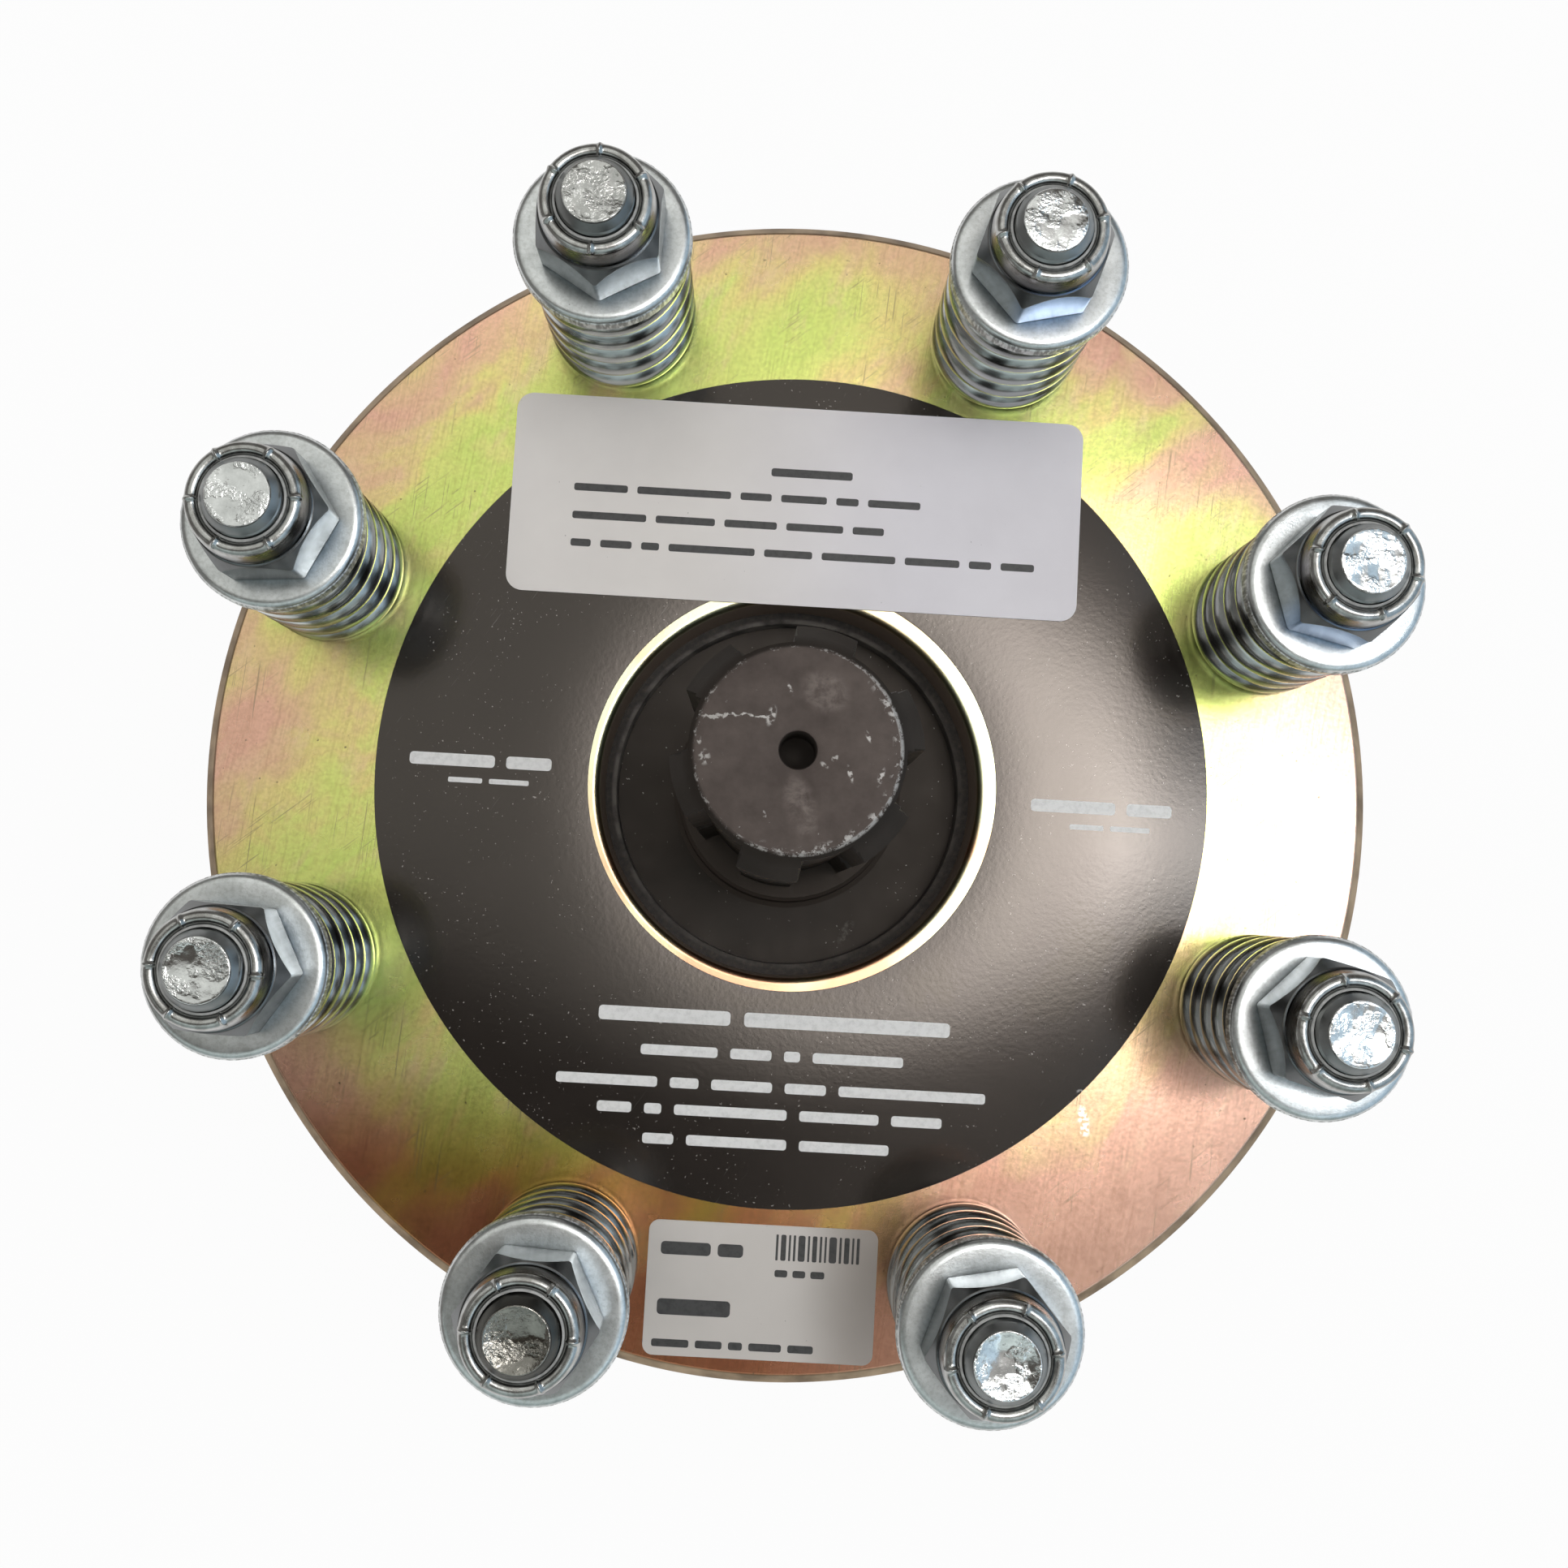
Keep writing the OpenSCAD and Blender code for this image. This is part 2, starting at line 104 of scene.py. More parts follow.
# Spring bolts
BOLT_COUNT = 8
BOLT_CIRCLE_R = 90.3
BOLT_R = 6.0
BOLT_HOLE_R = 6.5
BOLT_END_R = 4.9
BOLT_HEAD_AF = 19.0
BOLT_HEAD_H = 7.5
THREAD_PITCH = 1.75
THREAD_DEPTH = 0.9
THREAD_LENGTH = 30.0
SPRING_COIL_R = 10.45
WIRE_R = 2.8
COIL_PITCH = 6.1
SEAT_GAP = 0.05
WASHER_R = 14.3
WASHER_T = 3.0
NUT_AF = 19.0
NUT_HEX_H = 8.6
NUT_CUT_R = 9.38
NUT_CUT_SLOPE = 1.6
NUT_H = 13.0
COLLAR_R = 9.25
COLLAR_CREST_R = 7.65
COLLAR_MOUTH_R = 6.55
NUT_BORE_R = 6.08
# Rolled edge of a nut's collar, from outside to inside, and the ridges across it
COLLAR_ROLL = [math.radians(a) for a in (8, 18, 28, 38, 48, 60, 75, 90, 105, 120, 140, 160, 178)]
RIDGE_H = 0.42
RIDGE_HALF_W = 0.4
# Turn of each nut, in degrees
NUT_TURNS = [47, 13, 29, 4, 57, 57, 11, 45]
# Hollow of each bolt end, negative where it is domed
BOLT_HOLLOWS = [0.12, -0.18, 0.15, 0.1, 0.3, 0.75, 0.6, 0.25]
# How far each washer sits off its bolt's axis
WASHER_SHIFTS = [(0.35, 0), (0.4, 0), (-0.35, 0), (0, 0.3), (0, 0), (0.1, 0), (0, 0.1), (0, -0.4)]

# Output shaft
SPLINE_R = 17.4
SPLINE_ROOT_R = 14.7
TOOTH_W = 8.6
SPLINE_TURN = math.radians(19)
SHAFT_END_R = 14.0
SHAFT_END_CHAMFER = 4.0
GROOVE_FROM_END = 38.0
GROOVE_R = 6.8
GROOVE_BOTTOM_R = 14.0
CENTRE_HOLE_R = 2.5
CENTRE_HOLE_DEPTH = 8.0
SHANK_R = 20.0
SHANK_H = 8.0
SPIGOT_R = 22.0

# Hub and cotter bolt
HUB_R = 38.0
HUB_FILLET = 2.5
HUB_CHAMFER = 2.0
BORE_TIP_R = 20.2
BORE_ROOT_R = 22.3
BORE_TEETH = 20
BUSH_R = 26.05
BUSH_L = 16.0
COTTER_R = 8.0
COTTER_Y = 28.3
COTTER_Z = 30.0
COTTER_AF = 24.0
COTTER_HEAD_H = 10.0
COTTER_NUT_H = 13.0
COTTER_WASHER_R = 15.0
COTTER_WASHER_T = 3.0
COTTER_STANDOUT = 4.0
BOSS_HALF_W = 37.0
BOSS_Y = 45.3
BOSS_H = 34.0
BOSS_CORNER_R = 54.0

# Films: the ring decal, the wide label and the small label
FILM_T = 0.2
DECAL_R = 73.6
DECAL_HOLE_R = 36.1
# The ring decal sits a little off centre
DECAL_SHIFT = (0.65, 0.35)
WIDE_LABEL = dict(centre=(-1.4, 50.5), width=102.0, height=36.0, corner=3.0)
SMALL_LABEL = dict(centre=(0.0, -87.3), width=39.6, height=22.8, corner=1.8)


# Meshes

def make_object(name, verts, faces, local=None, sharp=32):
    """A smooth-shaded mesh object from points in millimetres, with a local coordinate on each point."""
    mesh = bpy.data.meshes.new(name)
    build = bmesh.new()
    layer = build.verts.layers.float_vector.new("local")
    points = [build.verts.new(Vector(v) * MM) for v in verts]
    for point, place in zip(points, verts if local is None else local):
        point[layer] = Vector(place)
    build.verts.ensure_lookup_table()
    for face in faces:
        build.faces.new([points[i] for i in face])
    bmesh.ops.remove_doubles(build, verts=build.verts, dist=1e-7)
    bmesh.ops.recalc_face_normals(build, faces=build.faces)
    build.to_mesh(mesh)
    build.free()
    obj = bpy.data.objects.new(name, mesh)
    bpy.context.scene.collection.objects.link(obj)
    smooth(obj, sharp)
    return obj


def smooth(obj, sharp=32):
    """Smooth shading, with edges sharper than that angle kept crisp."""
    obj.data.shade_smooth()
    obj.data.set_sharp_from_angle(angle=math.radians(sharp))


def even(steps):
    """Angles evenly round a turn."""
    return [TURN * i / steps for i in range(steps)]


def rounded(corners, steps=4):
    """Outline from (radius, height, rounding) corners, with each corner rounded off."""
    outline = []
    count = len(corners)
    for i, (x, y, rounding) in enumerate(corners):
        here = np.array([x, y])
        if rounding <= 0:
            outline.append((x, y))
            continue
        before = np.array(corners[i - 1][:2]) - here
        after = np.array(corners[(i + 1) % count][:2]) - here
        reach = min(rounding, 0.48 * np.linalg.norm(before), 0.48 * np.linalg.norm(after))
        first = here + before / np.linalg.norm(before) * reach
        last = here + after / np.linalg.norm(after) * reach
        for k in range(steps + 1):
            s = k / steps
            outline.append(tuple((1 - s) ** 2 * first + 2 * s * (1 - s) * here + s * s * last))
    return outline


def turned(name, section, angles, place=None, closed=True, sharp=32):
    """Solid turned about the z axis of place. section(angle) gives its (radius, height) outline.

    A closed outline makes a ring. An open one starts and ends on the axis.
    """
    rows = np.array([section(a) for a in angles], float)
    a = np.array(angles)[:, None]
    local = np.stack([rows[..., 0] * np.cos(a), rows[..., 0] * np.sin(a), rows[..., 1]], axis=-1)
    turns, count = rows.shape[:2]
    faces = []
    for i in range(turns):
        here, there = i * count, (i + 1) % turns * count
        for j in range(count if closed else count - 1):
            k = (j + 1) % count
            quad = [here + j, here + k, there + k, there + j]
            if rows[i, j, 0] == 0:
                quad = [here + j, here + k, there + k]
            if rows[i, k, 0] == 0:
                quad = [here + j, here + k, there + j]
            faces.append(quad)
    local = local.reshape(-1, 3)
    place = place or Matrix()
    turn_part = np.array(place.to_3x3())
    verts = local @ turn_part.T + np.array(place.translation)
    return make_object(name, verts.tolist(), faces, local.tolist(), sharp)


def at_bolt(n):
    """Place of spring bolt n, counted from one."""
    angle = TURN * (n - 0.5) / BOLT_COUNT
    return Matrix.Translation((BOLT_CIRCLE_R * math.cos(angle), BOLT_CIRCLE_R * math.sin(angle), 0))


def at_cotter(x):
    """Place on the cotter bolt's axis, with z along the bolt from the hub's middle."""
    return Matrix.Translation((x, COTTER_Y, COTTER_Z)) @ Matrix.Rotation(math.radians(90), 4, "Y")


def carved(obj, operation, *tools):
    """Joins or cuts obj with other meshes, which are then gone."""
    for tool in tools:
        step = obj.modifiers.new("carve", "BOOLEAN")
        step.operation = operation
        step.solver = "EXACT"
        step.object = tool
    graph = bpy.context.evaluated_depsgraph_get()
    mesh = bpy.data.meshes.new_from_object(obj.evaluated_get(graph), preserve_all_data_layers=True, depsgraph=graph)
    obj.modifiers.clear()
    obj.data = mesh
    mesh.name = obj.name
    for tool in tools:
        bpy.data.objects.remove(tool)
    smooth(obj)
    return obj


def rod(name, radius, low, high, place=None, steps=64):
    """Plain round rod for cutting."""
    outline = [(0, low), (radius, low), (radius, high), (0, high)]
    return turned(name, lambda a: outline, even(steps), place, closed=False)


def bolt_hole_rods(low, high):
    return [rod("hole", BOLT_HOLE_R, low, high, at_bolt(n)) for n in range(1, BOLT_COUNT + 1)]


def hex_radius(angle, af, turn=0.0):
    """Distance to the side of a hexagon with slightly rounded corners."""
    sixth = TURN / 6
    off = (angle - turn) % sixth - sixth / 2
    corner = af / 2 / math.cos(sixth / 2)
    return min(af / 2 / math.cos(off), corner - 0.12)


def hex_angles(turn, steps=14):
    """Angles round a hexagon, close together at its corners."""
    sixth = TURN / 6
    shares = [0.5 - 0.5 * math.cos(math.pi * i / steps) for i in range(steps)]
    return [turn + sixth * (k + s) for k in range(6) for s in shares]


def hex_cut(side, af):
    """Radius where the end chamfer of a hexagon begins, and its drop out to the side."""
    cut_r = af / 2 * 0.96
    return cut_r, (side - cut_r) * math.tan(math.radians(30))


def pressure_plate():
    corners = [
        (OPENING_R, PLATE_BOTTOM, 0.3),
        (PLATE_R - RIM_CHAMFER, PLATE_BOTTOM, 0.3),
        (PLATE_R, PLATE_BOTTOM + RIM_CHAMFER, 0.4),
        (PLATE_R, PLATE_TOP - RIM_CHAMFER, 0.4),
        (PLATE_R - RIM_CHAMFER, PLATE_TOP, 0.35),
        (OPENING_R, PLATE_TOP, OPENING_ROUND),
    ]
    outline = rounded(corners, steps=8)
    plate = turned("pressure_plate_dressed", lambda a: outline, even(256))
    return carved(plate, "DIFFERENCE", *bolt_hole_rods(PLATE_BOTTOM - 1, PLATE_TOP + 1))


def flange_hub():
    bush_seat = FLANGE_TOP - BUSH_L
    flange_bottom = FLANGE_TOP - FLANGE_T
    lead = BORE_ROOT_R - BORE_TIP_R

    def section(angle):
        pitch = TURN / BORE_TEETH
        share = abs((angle / pitch + 0.5) % 1 - 0.5) * 2
        depth = min(1.0, max(0.0, (0.6 - share) / 0.22))
        bore = BORE_TIP_R + (BORE_ROOT_R - BORE_TIP_R) * depth
        return rounded([
            (bore, lead, 0),
            (BORE_ROOT_R + 0.2, 0, 0.2),
            (HUB_R - HUB_CHAMFER, 0, 0.5),
            (HUB_R, HUB_CHAMFER, 0.5),
            (HUB_R, flange_bottom, HUB_FILLET),
            (PLATE_R - RIM_CHAMFER, flange_bottom, 0.3),
            (PLATE_R, flange_bottom + RIM_CHAMFER, 0.4),
            (PLATE_R, FLANGE_TOP - RIM_CHAMFER, 0.4),
            (PLATE_R - RIM_CHAMFER, FLANGE_TOP, 0.3),
            (BUSH_R, FLANGE_TOP, 0.3),
            (BUSH_R, bush_seat, 0),
            (bore, bush_seat, 0),
        ])

    hub = turned("flange_hub_dressed", section, even(BORE_TEETH * 16))
    carved(hub, "UNION", clamp_boss())
    cotter_hole = rod("hole", COTTER_R + 0.3, -BOSS_HALF_W - 2, BOSS_HALF_W + 2, at_cotter(0))
    return carved(hub, "DIFFERENCE", cotter_hole, *bolt_hole_rods(flange_bottom - 1, FLANGE_TOP + 1))


def clamp_boss():
    """Block on the side of the hub round the cotter bolt, with rounded upright edges."""
    inner = BORE_ROOT_R + 2
    low, high = COTTER_Z - BOSS_H / 2, COTTER_Z + BOSS_H / 2
    edge = math.sqrt(BOSS_CORNER_R ** 2 - BOSS_HALF_W ** 2)
    corner = math.atan2(edge, BOSS_HALF_W)
    reach = math.atan2(BOSS_Y, math.sqrt(BOSS_CORNER_R ** 2 - BOSS_Y ** 2))
    arc = [corner + (reach - corner) * i / 6 for i in range(7)]
    right = [(BOSS_CORNER_R * math.cos(a), BOSS_CORNER_R * math.sin(a)) for a in arc]
    outline = [(BOSS_HALF_W, inner), *right, *[(-x, y) for x, y in reversed(right)], (-BOSS_HALF_W, inner)]
    boss = prism("clamp_boss", outline, low, high)
    softened(boss, 1.2)
    return boss


def prism(name, outline, low, high):
    """Upright prism over an outline in the xy plane."""
    verts = [(x, y, z) for z in (low, high) for x, y in outline]
    return make_object(name, verts, prism_faces(len(outline)))


def prism_faces(count, first=0):
    """Bottom, top and sides of a prism whose bottom points come before its top points."""
    low = [first + i for i in range(count)]
    high = [i + count for i in low]
    sides = [[low[i - 1], low[i], high[i], high[i - 1]] for i in [*range(1, count), 0]]
    return [low[::-1], high, *sides]


def softened(obj, width, segments=3):
    """Rounds the sharp edges of a mesh."""
    step = obj.modifiers.new("soften", "BEVEL")
    step.width = width * MM
    step.segments = segments
    step.limit_method = "ANGLE"
    step.angle_limit = math.radians(40)
    return carved(obj, "UNION")


def plain_ring(name, inner, outer, low, high, edge, steps=192, shift=(0, 0)):
    outline = rounded([(inner, low, edge), (outer, low, edge), (outer, high, edge), (inner, high, edge)])
    return turned(name, lambda a: outline, even(steps), Matrix.Translation((*shift, 0)))


def output_shaft():
    shank_top = DRIVE_TOP + SHANK_H
    groove_z = SHAFT_TOP - GROOVE_FROM_END
    hole_z = SHAFT_TOP - CENTRE_HOLE_DEPTH
    flank_out = math.asin(TOOTH_W / 2 / SPLINE_R)
    flank_in = math.asin(TOOTH_W / 2 / SPLINE_ROOT_R)
    sixth = TURN / 6

    def tooth_radius(angle):
        off = abs((angle - SPLINE_TURN + sixth / 2) % sixth - sixth / 2)
        if off <= flank_out:
            return SPLINE_R
        return max(SPLINE_ROOT_R, TOOTH_W / 2 / math.sin(off))

    def limit(z):
        """Largest radius at a height: the chamfered end, and the locking groove."""
        chamfer = SHAFT_END_R + (SPLINE_R - SHAFT_END_R) * (SHAFT_TOP - z) / SHAFT_END_CHAMFER
        off = abs(z - groove_z)
        groove = SPLINE_R
        if off < GROOVE_R:
            groove = GROOVE_BOTTOM_R + GROOVE_R - math.sqrt(GROOVE_R ** 2 - off ** 2)
        return min(chamfer, groove, SPLINE_R)

    groove_reach = math.sqrt(GROOVE_R ** 2 - (GROOVE_R - SPLINE_R + GROOVE_BOTTOM_R) ** 2)
    groove_rows = [groove_z + groove_reach * (1 - i / 8) for i in range(17)]
    root_row = SHAFT_TOP - SHAFT_END_CHAMFER * (SPLINE_ROOT_R - SHAFT_END_R) / (SPLINE_R - SHAFT_END_R)
    end_rows = [root_row, SHAFT_TOP - SHAFT_END_CHAMFER / 2, SHAFT_TOP - SHAFT_END_CHAMFER]

    def section(angle):
        tooth = tooth_radius(angle)
        side = [(min(tooth, limit(z)), z) for z in [*end_rows, *groove_rows, shank_top + 0.6]]
        return [
            (0, hole_z - CENTRE_HOLE_R),
            (CENTRE_HOLE_R, hole_z),
            (CENTRE_HOLE_R, SHAFT_TOP - 0.5),
            (CENTRE_HOLE_R + 0.15, SHAFT_TOP - 0.12),
            (CENTRE_HOLE_R + 0.5, SHAFT_TOP),
            (SHAFT_END_R * 0.6, SHAFT_TOP),
            (SHAFT_END_R - 0.7, SHAFT_TOP - 0.03),
            (SHAFT_END_R - 0.25, SHAFT_TOP - 0.14),
            (SHAFT_END_R + 0.02, SHAFT_TOP - 0.42),
            *side,
            (max(tooth, SPLINE_R), shank_top),
            (SHANK_R - 0.6, shank_top),
            (SHANK_R, shank_top - 0.6),
            (SHANK_R, DRIVE_TOP + 1.2),
            (SHANK_R + 0.35, DRIVE_TOP + 0.35),
            (SHANK_R + 1.2, DRIVE_TOP),
            (SHANK_R, DRIVE_TOP - 0.5),
            (SHANK_R, DRIVE_BOTTOM),
            (SPIGOT_R, DRIVE_BOTTOM),
            (SPIGOT_R, SHAFT_BOTTOM + 1),
            (SPIGOT_R - 1, SHAFT_BOTTOM),
            (0, SHAFT_BOTTOM),
        ]

    near = [flank_out * s for s in (0, 0.35, 0.7, 0.94, 1)]
    flank = [flank_out + (flank_in - flank_out) * s for s in (0.5, 1)]
    root = [flank_in + (sixth / 2 - flank_in) * s for s in (0.06, 0.5)]
    half = [*near, *flank, *root]
    offsets = [*[-a for a in reversed(half[1:])], *half, sixth / 2]
    angles = [SPLINE_TURN + k * sixth + a for k in range(6) for a in offsets]
    return turned("output_shaft_dressed", section, angles, closed=False, sharp=30)


def spring(n):
    """Coil of round wire with ground ends, with the length along the wire as its local coordinate."""
    low = PLATE_TOP + SEAT_GAP
    high = WASHER_BOTTOM - SEAT_GAP
    start = low - WIRE_R / 2
    turns = (high - low + WIRE_R) / COIL_PITCH
    rings = int(turns * 72)
    points = 20
    flat = math.pi / 2 - math.pi / points
    place = at_bolt(n)
    phase = TURN * (n - 0.5) / BOLT_COUNT
    verts, local = [], []
    for i in range(rings + 1):
        t = turns * i / rings
        z = start + COIL_PITCH * t
        low_cut = max(-flat, math.asin(max(-1, (low - z) / WIRE_R)))
        high_cut = min(flat, math.asin(min(1, (high - z) / WIRE_R)))
        for j in range(points):
            a = low_cut + (math.pi - 2 * low_cut) * j / (points - 1)
            if high_cut < flat:
                k = (j + points // 2) % points
                a = math.pi - high_cut + (math.pi + 2 * high_cut) * k / (points - 1)
            r = SPRING_COIL_R + WIRE_R * math.cos(a)
            angle = phase + TURN * t
            spot = Vector((r * math.cos(angle), r * math.sin(angle), z + WIRE_R * math.sin(a)))
            verts.append(spot + place.translation)
            local.append((TURN * t * SPRING_COIL_R, WIRE_R * math.cos(a), WIRE_R * math.sin(a)))
    faces = []
    for i in range(rings):
        for j in range(points):
            a, b = i * points + j, i * points + (j + 1) % points
            faces.append([a, b, b + points, a + points])
    faces.append(list(range(points))[::-1])
    faces.append([rings * points + j for j in range(points)])
    return make_object(f"coil_spring_{n}", verts, faces, local, sharp=40)


def washer_section(radius, hole, thickness):
    """Stamped washer: sheared band below, burnished band and rolled edge above."""
    shear = thickness * 0.66
    roll = [math.radians(a) for a in (0, 15, 30, 45, 60, 75, 90)]

    def section(angle):
        ragged = 0.05 * math.sin(37 * angle) + 0.04 * math.sin(61 * angle + 1)
        return [
            (hole, 0),
            (radius - 0.25, 0),
            (radius - 0.05, 0.08),
            (radius, 0.3),
            (radius - 0.02, shear + ragged),
            (radius - 0.14, shear + 0.12 + ragged),
            *[(radius - 1.5 + 1.3 * math.cos(a), thickness - 0.8 + 0.8 * math.sin(a)) for a in roll],
            (hole + 0.4, thickness),
            (hole + 0.1, thickness - 0.12),
            (hole, thickness - 0.4),
        ]

    return section


def spring_washer(n):
    place = at_bolt(n) @ Matrix.Translation((*WASHER_SHIFTS[n - 1], WASHER_BOTTOM))
    return turned(f"flat_washer_{n}", washer_section(WASHER_R, BOLT_HOLE_R, WASHER_T), even(144), place)


def lock_nut(n):
    """Six-sided nut with a crimped collar and six ridges on it."""
    turn = math.radians(NUT_TURNS[n - 1])
    roll_r = COLLAR_CREST_R - COLLAR_MOUTH_R
    sixth = TURN / 6

    def section(angle):
        side = hex_radius(angle, NUT_AF, turn)
        cut_z = NUT_HEX_H - (side - NUT_CUT_R) * NUT_CUT_SLOPE
        off = ((angle - turn + sixth / 2) % sixth - sixth / 2) * COLLAR_R
        ridge = RIDGE_H * math.exp(-(off / RIDGE_HALF_W) ** 2)
        reach = [roll_r + ridge * math.sin(a) for a in COLLAR_ROLL]
        roll = zip(reach, COLLAR_ROLL)
        return [
            (NUT_BORE_R, 0.6),
            (NUT_BORE_R + 0.6, 0),
            (side - 0.5, 0),
            (side - 0.08, 0.1),
            (side, 0.45),
            (side, cut_z),
            (NUT_CUT_R, NUT_HEX_H - 0.02),
            (COLLAR_R - 0.18, NUT_HEX_H + 0.12),
            (COLLAR_R - 0.3, NUT_HEX_H + 0.5),
            (COLLAR_R - 0.2, NUT_HEX_H + 1.2),
            (COLLAR_R - 0.25, NUT_HEX_H + 1.8),
            (COLLAR_R - 0.34, NUT_HEX_H + 2.5),
            (COLLAR_R - 0.45, NUT_HEX_H + 3.0),
            *[(COLLAR_CREST_R + k * math.cos(a), NUT_H - roll_r + k * math.sin(a)) for k, a in roll],
            (COLLAR_MOUTH_R + 0.05, NUT_H - 1.4),
            (COLLAR_MOUTH_R + 0.4, NUT_H - 3.4),
            (NUT_BORE_R, NUT_H - 3.6),
        ]

    place = at_bolt(n) @ Matrix.Translation((0, 0, NUT_BOTTOM))
    return turned(f"crimped_nut_{n}", section, hex_angles(turn, 32), place, sharp=24)


def nylon_insert(n):
    z = NUT_BOTTOM + NUT_H
    outline = rounded([
        (NUT_BORE_R - 0.02, z - 3.5, 0.05),
        (COLLAR_MOUTH_R + 0.3, z - 3.5, 0.05),
        (COLLAR_MOUTH_R + 0.02, z - 1.3, 0.1),
        (COLLAR_MOUTH_R - 0.02, z - 0.5, 0.1),
        (NUT_BORE_R + 0.05, z - 0.35, 0.15),
    ])
    return turned(f"nylon_ring_{n}", lambda a: outline, even(96), at_bolt(n))


def thread_rows(radius, pitch, depth, low, high, per_pitch=8):
    """Heights of the rows of a threaded stretch, and how deep the thread is at each and an angle."""
    rows = [high - pitch * i / per_pitch for i in range(int((high - low) / pitch * per_pitch))]

    def depth_at(z, angle):
        share = (z / pitch - angle / TURN) % 1
        wave = abs(2 * share - 1)
        return radius - depth * min(1, max(0, (wave - 0.12) / 0.7))

    return rows, depth_at


def threaded_bolt(
    name, place, radius, end_r, hollow, pitch, depth, thread_low, shank_top, head_af, head_h, head_turn,
):
    """Bolt with its head below z = 0 and its free end at shank_top, where the thread fades out."""
    rows, depth_at = thread_rows(radius, pitch, depth, thread_low, shank_top - 1.5)
    rim_z = shank_top - 0.02 + min(0, hollow)

    def section(angle):
        side = hex_radius(angle, head_af, head_turn)
        cut_r, drop = hex_cut(side, head_af)
        cut_z = drop - head_h
        end = [(end_r * s, rim_z - hollow * (1 - s * s)) for s in (0, 0.2, 0.4, 0.6, 0.75, 0.88)]
        end += [
            (end_r - 0.2, rim_z),
            (end_r - 0.03, rim_z - 0.04),
            (end_r + 0.1, rim_z - 0.16),
            (radius - 0.3, shank_top - 1.0),
            (radius - 0.12, shank_top - 1.3),
        ]
        thread = [(depth_at(z, angle), z) for z in rows]
        head = [
            (radius, thread_low - 0.5),
            (radius, 0.4),
            (radius + 0.3, 0),
            (side - 0.4, 0),
            (side, -0.3),
            (side, cut_z + 0.15),
            (side - 0.12, cut_z - 0.05),
            (cut_r + 0.05, -head_h + 0.03),
            (cut_r - 0.3, -head_h),
            (head_af * 0.3, -head_h),
            (0, -head_h),
        ]
        return [*end, *thread, *head]

    return turned(name, section, hex_angles(head_turn, 10), place, closed=False, sharp=35)


def spring_bolt(n):
    flange_bottom = FLANGE_TOP - FLANGE_T
    place = at_bolt(n) @ Matrix.Translation((0, 0, flange_bottom))
    length = BOLT_TOP - flange_bottom
    head_turn = TURN * (n - 0.5) / BOLT_COUNT
    return threaded_bolt(
        f"long_bolt_{n}", place, BOLT_R, BOLT_END_R, BOLT_HOLLOWS[n - 1], THREAD_PITCH, THREAD_DEPTH,
        length - THREAD_LENGTH, length, BOLT_HEAD_AF, BOLT_HEAD_H, head_turn,
    )


def cotter_bolt():
    length = 2 * BOSS_HALF_W + COTTER_WASHER_T + COTTER_NUT_H + COTTER_STANDOUT
    return threaded_bolt(
        "clamp_bolt", at_cotter(-BOSS_HALF_W), COTTER_R, COTTER_R - 1, 0.1, 2.0, 1.0,
        length - 32, length, COTTER_AF, COTTER_HEAD_H, 0,
    )


def cotter_washer():
    section = washer_section(COTTER_WASHER_R, COTTER_R + 0.3, COTTER_WASHER_T)
    return turned("clamp_washer", section, even(96), at_cotter(BOSS_HALF_W))


def cotter_nut():
    def section(angle):
        side = hex_radius(angle, COTTER_AF)
        cut_r, drop = hex_cut(side, COTTER_AF)
        return [
            (COTTER_R + 0.05, 0.8),
            (COTTER_R + 0.8, 0),
            (cut_r, 0),
            (side - 0.1, drop - 0.05),
            (side, drop + 0.15),
            (side, COTTER_NUT_H - drop - 0.15),
            (side - 0.1, COTTER_NUT_H - drop + 0.05),
            (cut_r, COTTER_NUT_H),
            (COTTER_R + 0.8, COTTER_NUT_H),
            (COTTER_R + 0.05, COTTER_NUT_H - 0.8),
        ]

    place = at_cotter(BOSS_HALF_W + COTTER_WASHER_T)
    return turned("clamp_nut", section, hex_angles(0, 12), place, sharp=24)


def rounded_rectangle(centre, width, height, corner, steps=8):
    """Outline of a rectangle with round corners."""
    x, y = centre
    outline = []
    for quarter, (sx, sy) in enumerate([(1, 1), (-1, 1), (-1, -1), (1, -1)]):
        for i in range(steps + 1):
            a = (quarter + i / steps) * math.pi / 2
            middle = (x + sx * (width / 2 - corner), y + sy * (height / 2 - corner))
            outline.append((middle[0] + corner * math.cos(a), middle[1] + corner * math.sin(a)))
    return outline


# Lines of bars on the films: left end, height of the line's middle, bar height, gap, bar lengths
DECAL_LINES = [
    (-30.9, -41.0, 2.5, 2.4, [23, 36]),
    (-23.2, -47.0, 1.8, 2.2, [13.4, 7.2, 2.8, 15.8]),
    (-37.6, -52.5, 1.8, 2.2, [17.6, 5, 10.6, 7.2, 25.6]),
    (-30.2, -57.1, 1.8, 2.2, [6, 3, 19.6, 13.8, 8.8]),
    (-22.0, -62.2, 1.8, 2.2, [5.4, 17.4, 15.6]),
    (-67.0, 1.6, 2.2, 2.0, [15, 8]),
    (-60.0, -1.9, 0.9, 1.2, [6, 7]),
    (43.0, -0.6, 2.2, 2.0, [15, 8]),
    (50.0, -4.1, 0.9, 1.2, [6, 7]),
]
WIDE_LINES = [
    (-6.2, 56.5, 1.5, 1.4, [14.6]),
    (-41.3, 51.8, 1.35, 1.7, [9.6, 16.8, 5.6, 8.2, 4, 9.4]),
    (-41.3, 46.7, 1.35, 1.7, [13.2, 10.6, 9.4, 10.2, 5.6]),
    (-41.3, 41.7, 1.35, 1.7, [3.6, 5.6, 3.2, 15.4, 8.6, 13.2, 9.8, 4, 6]),
]
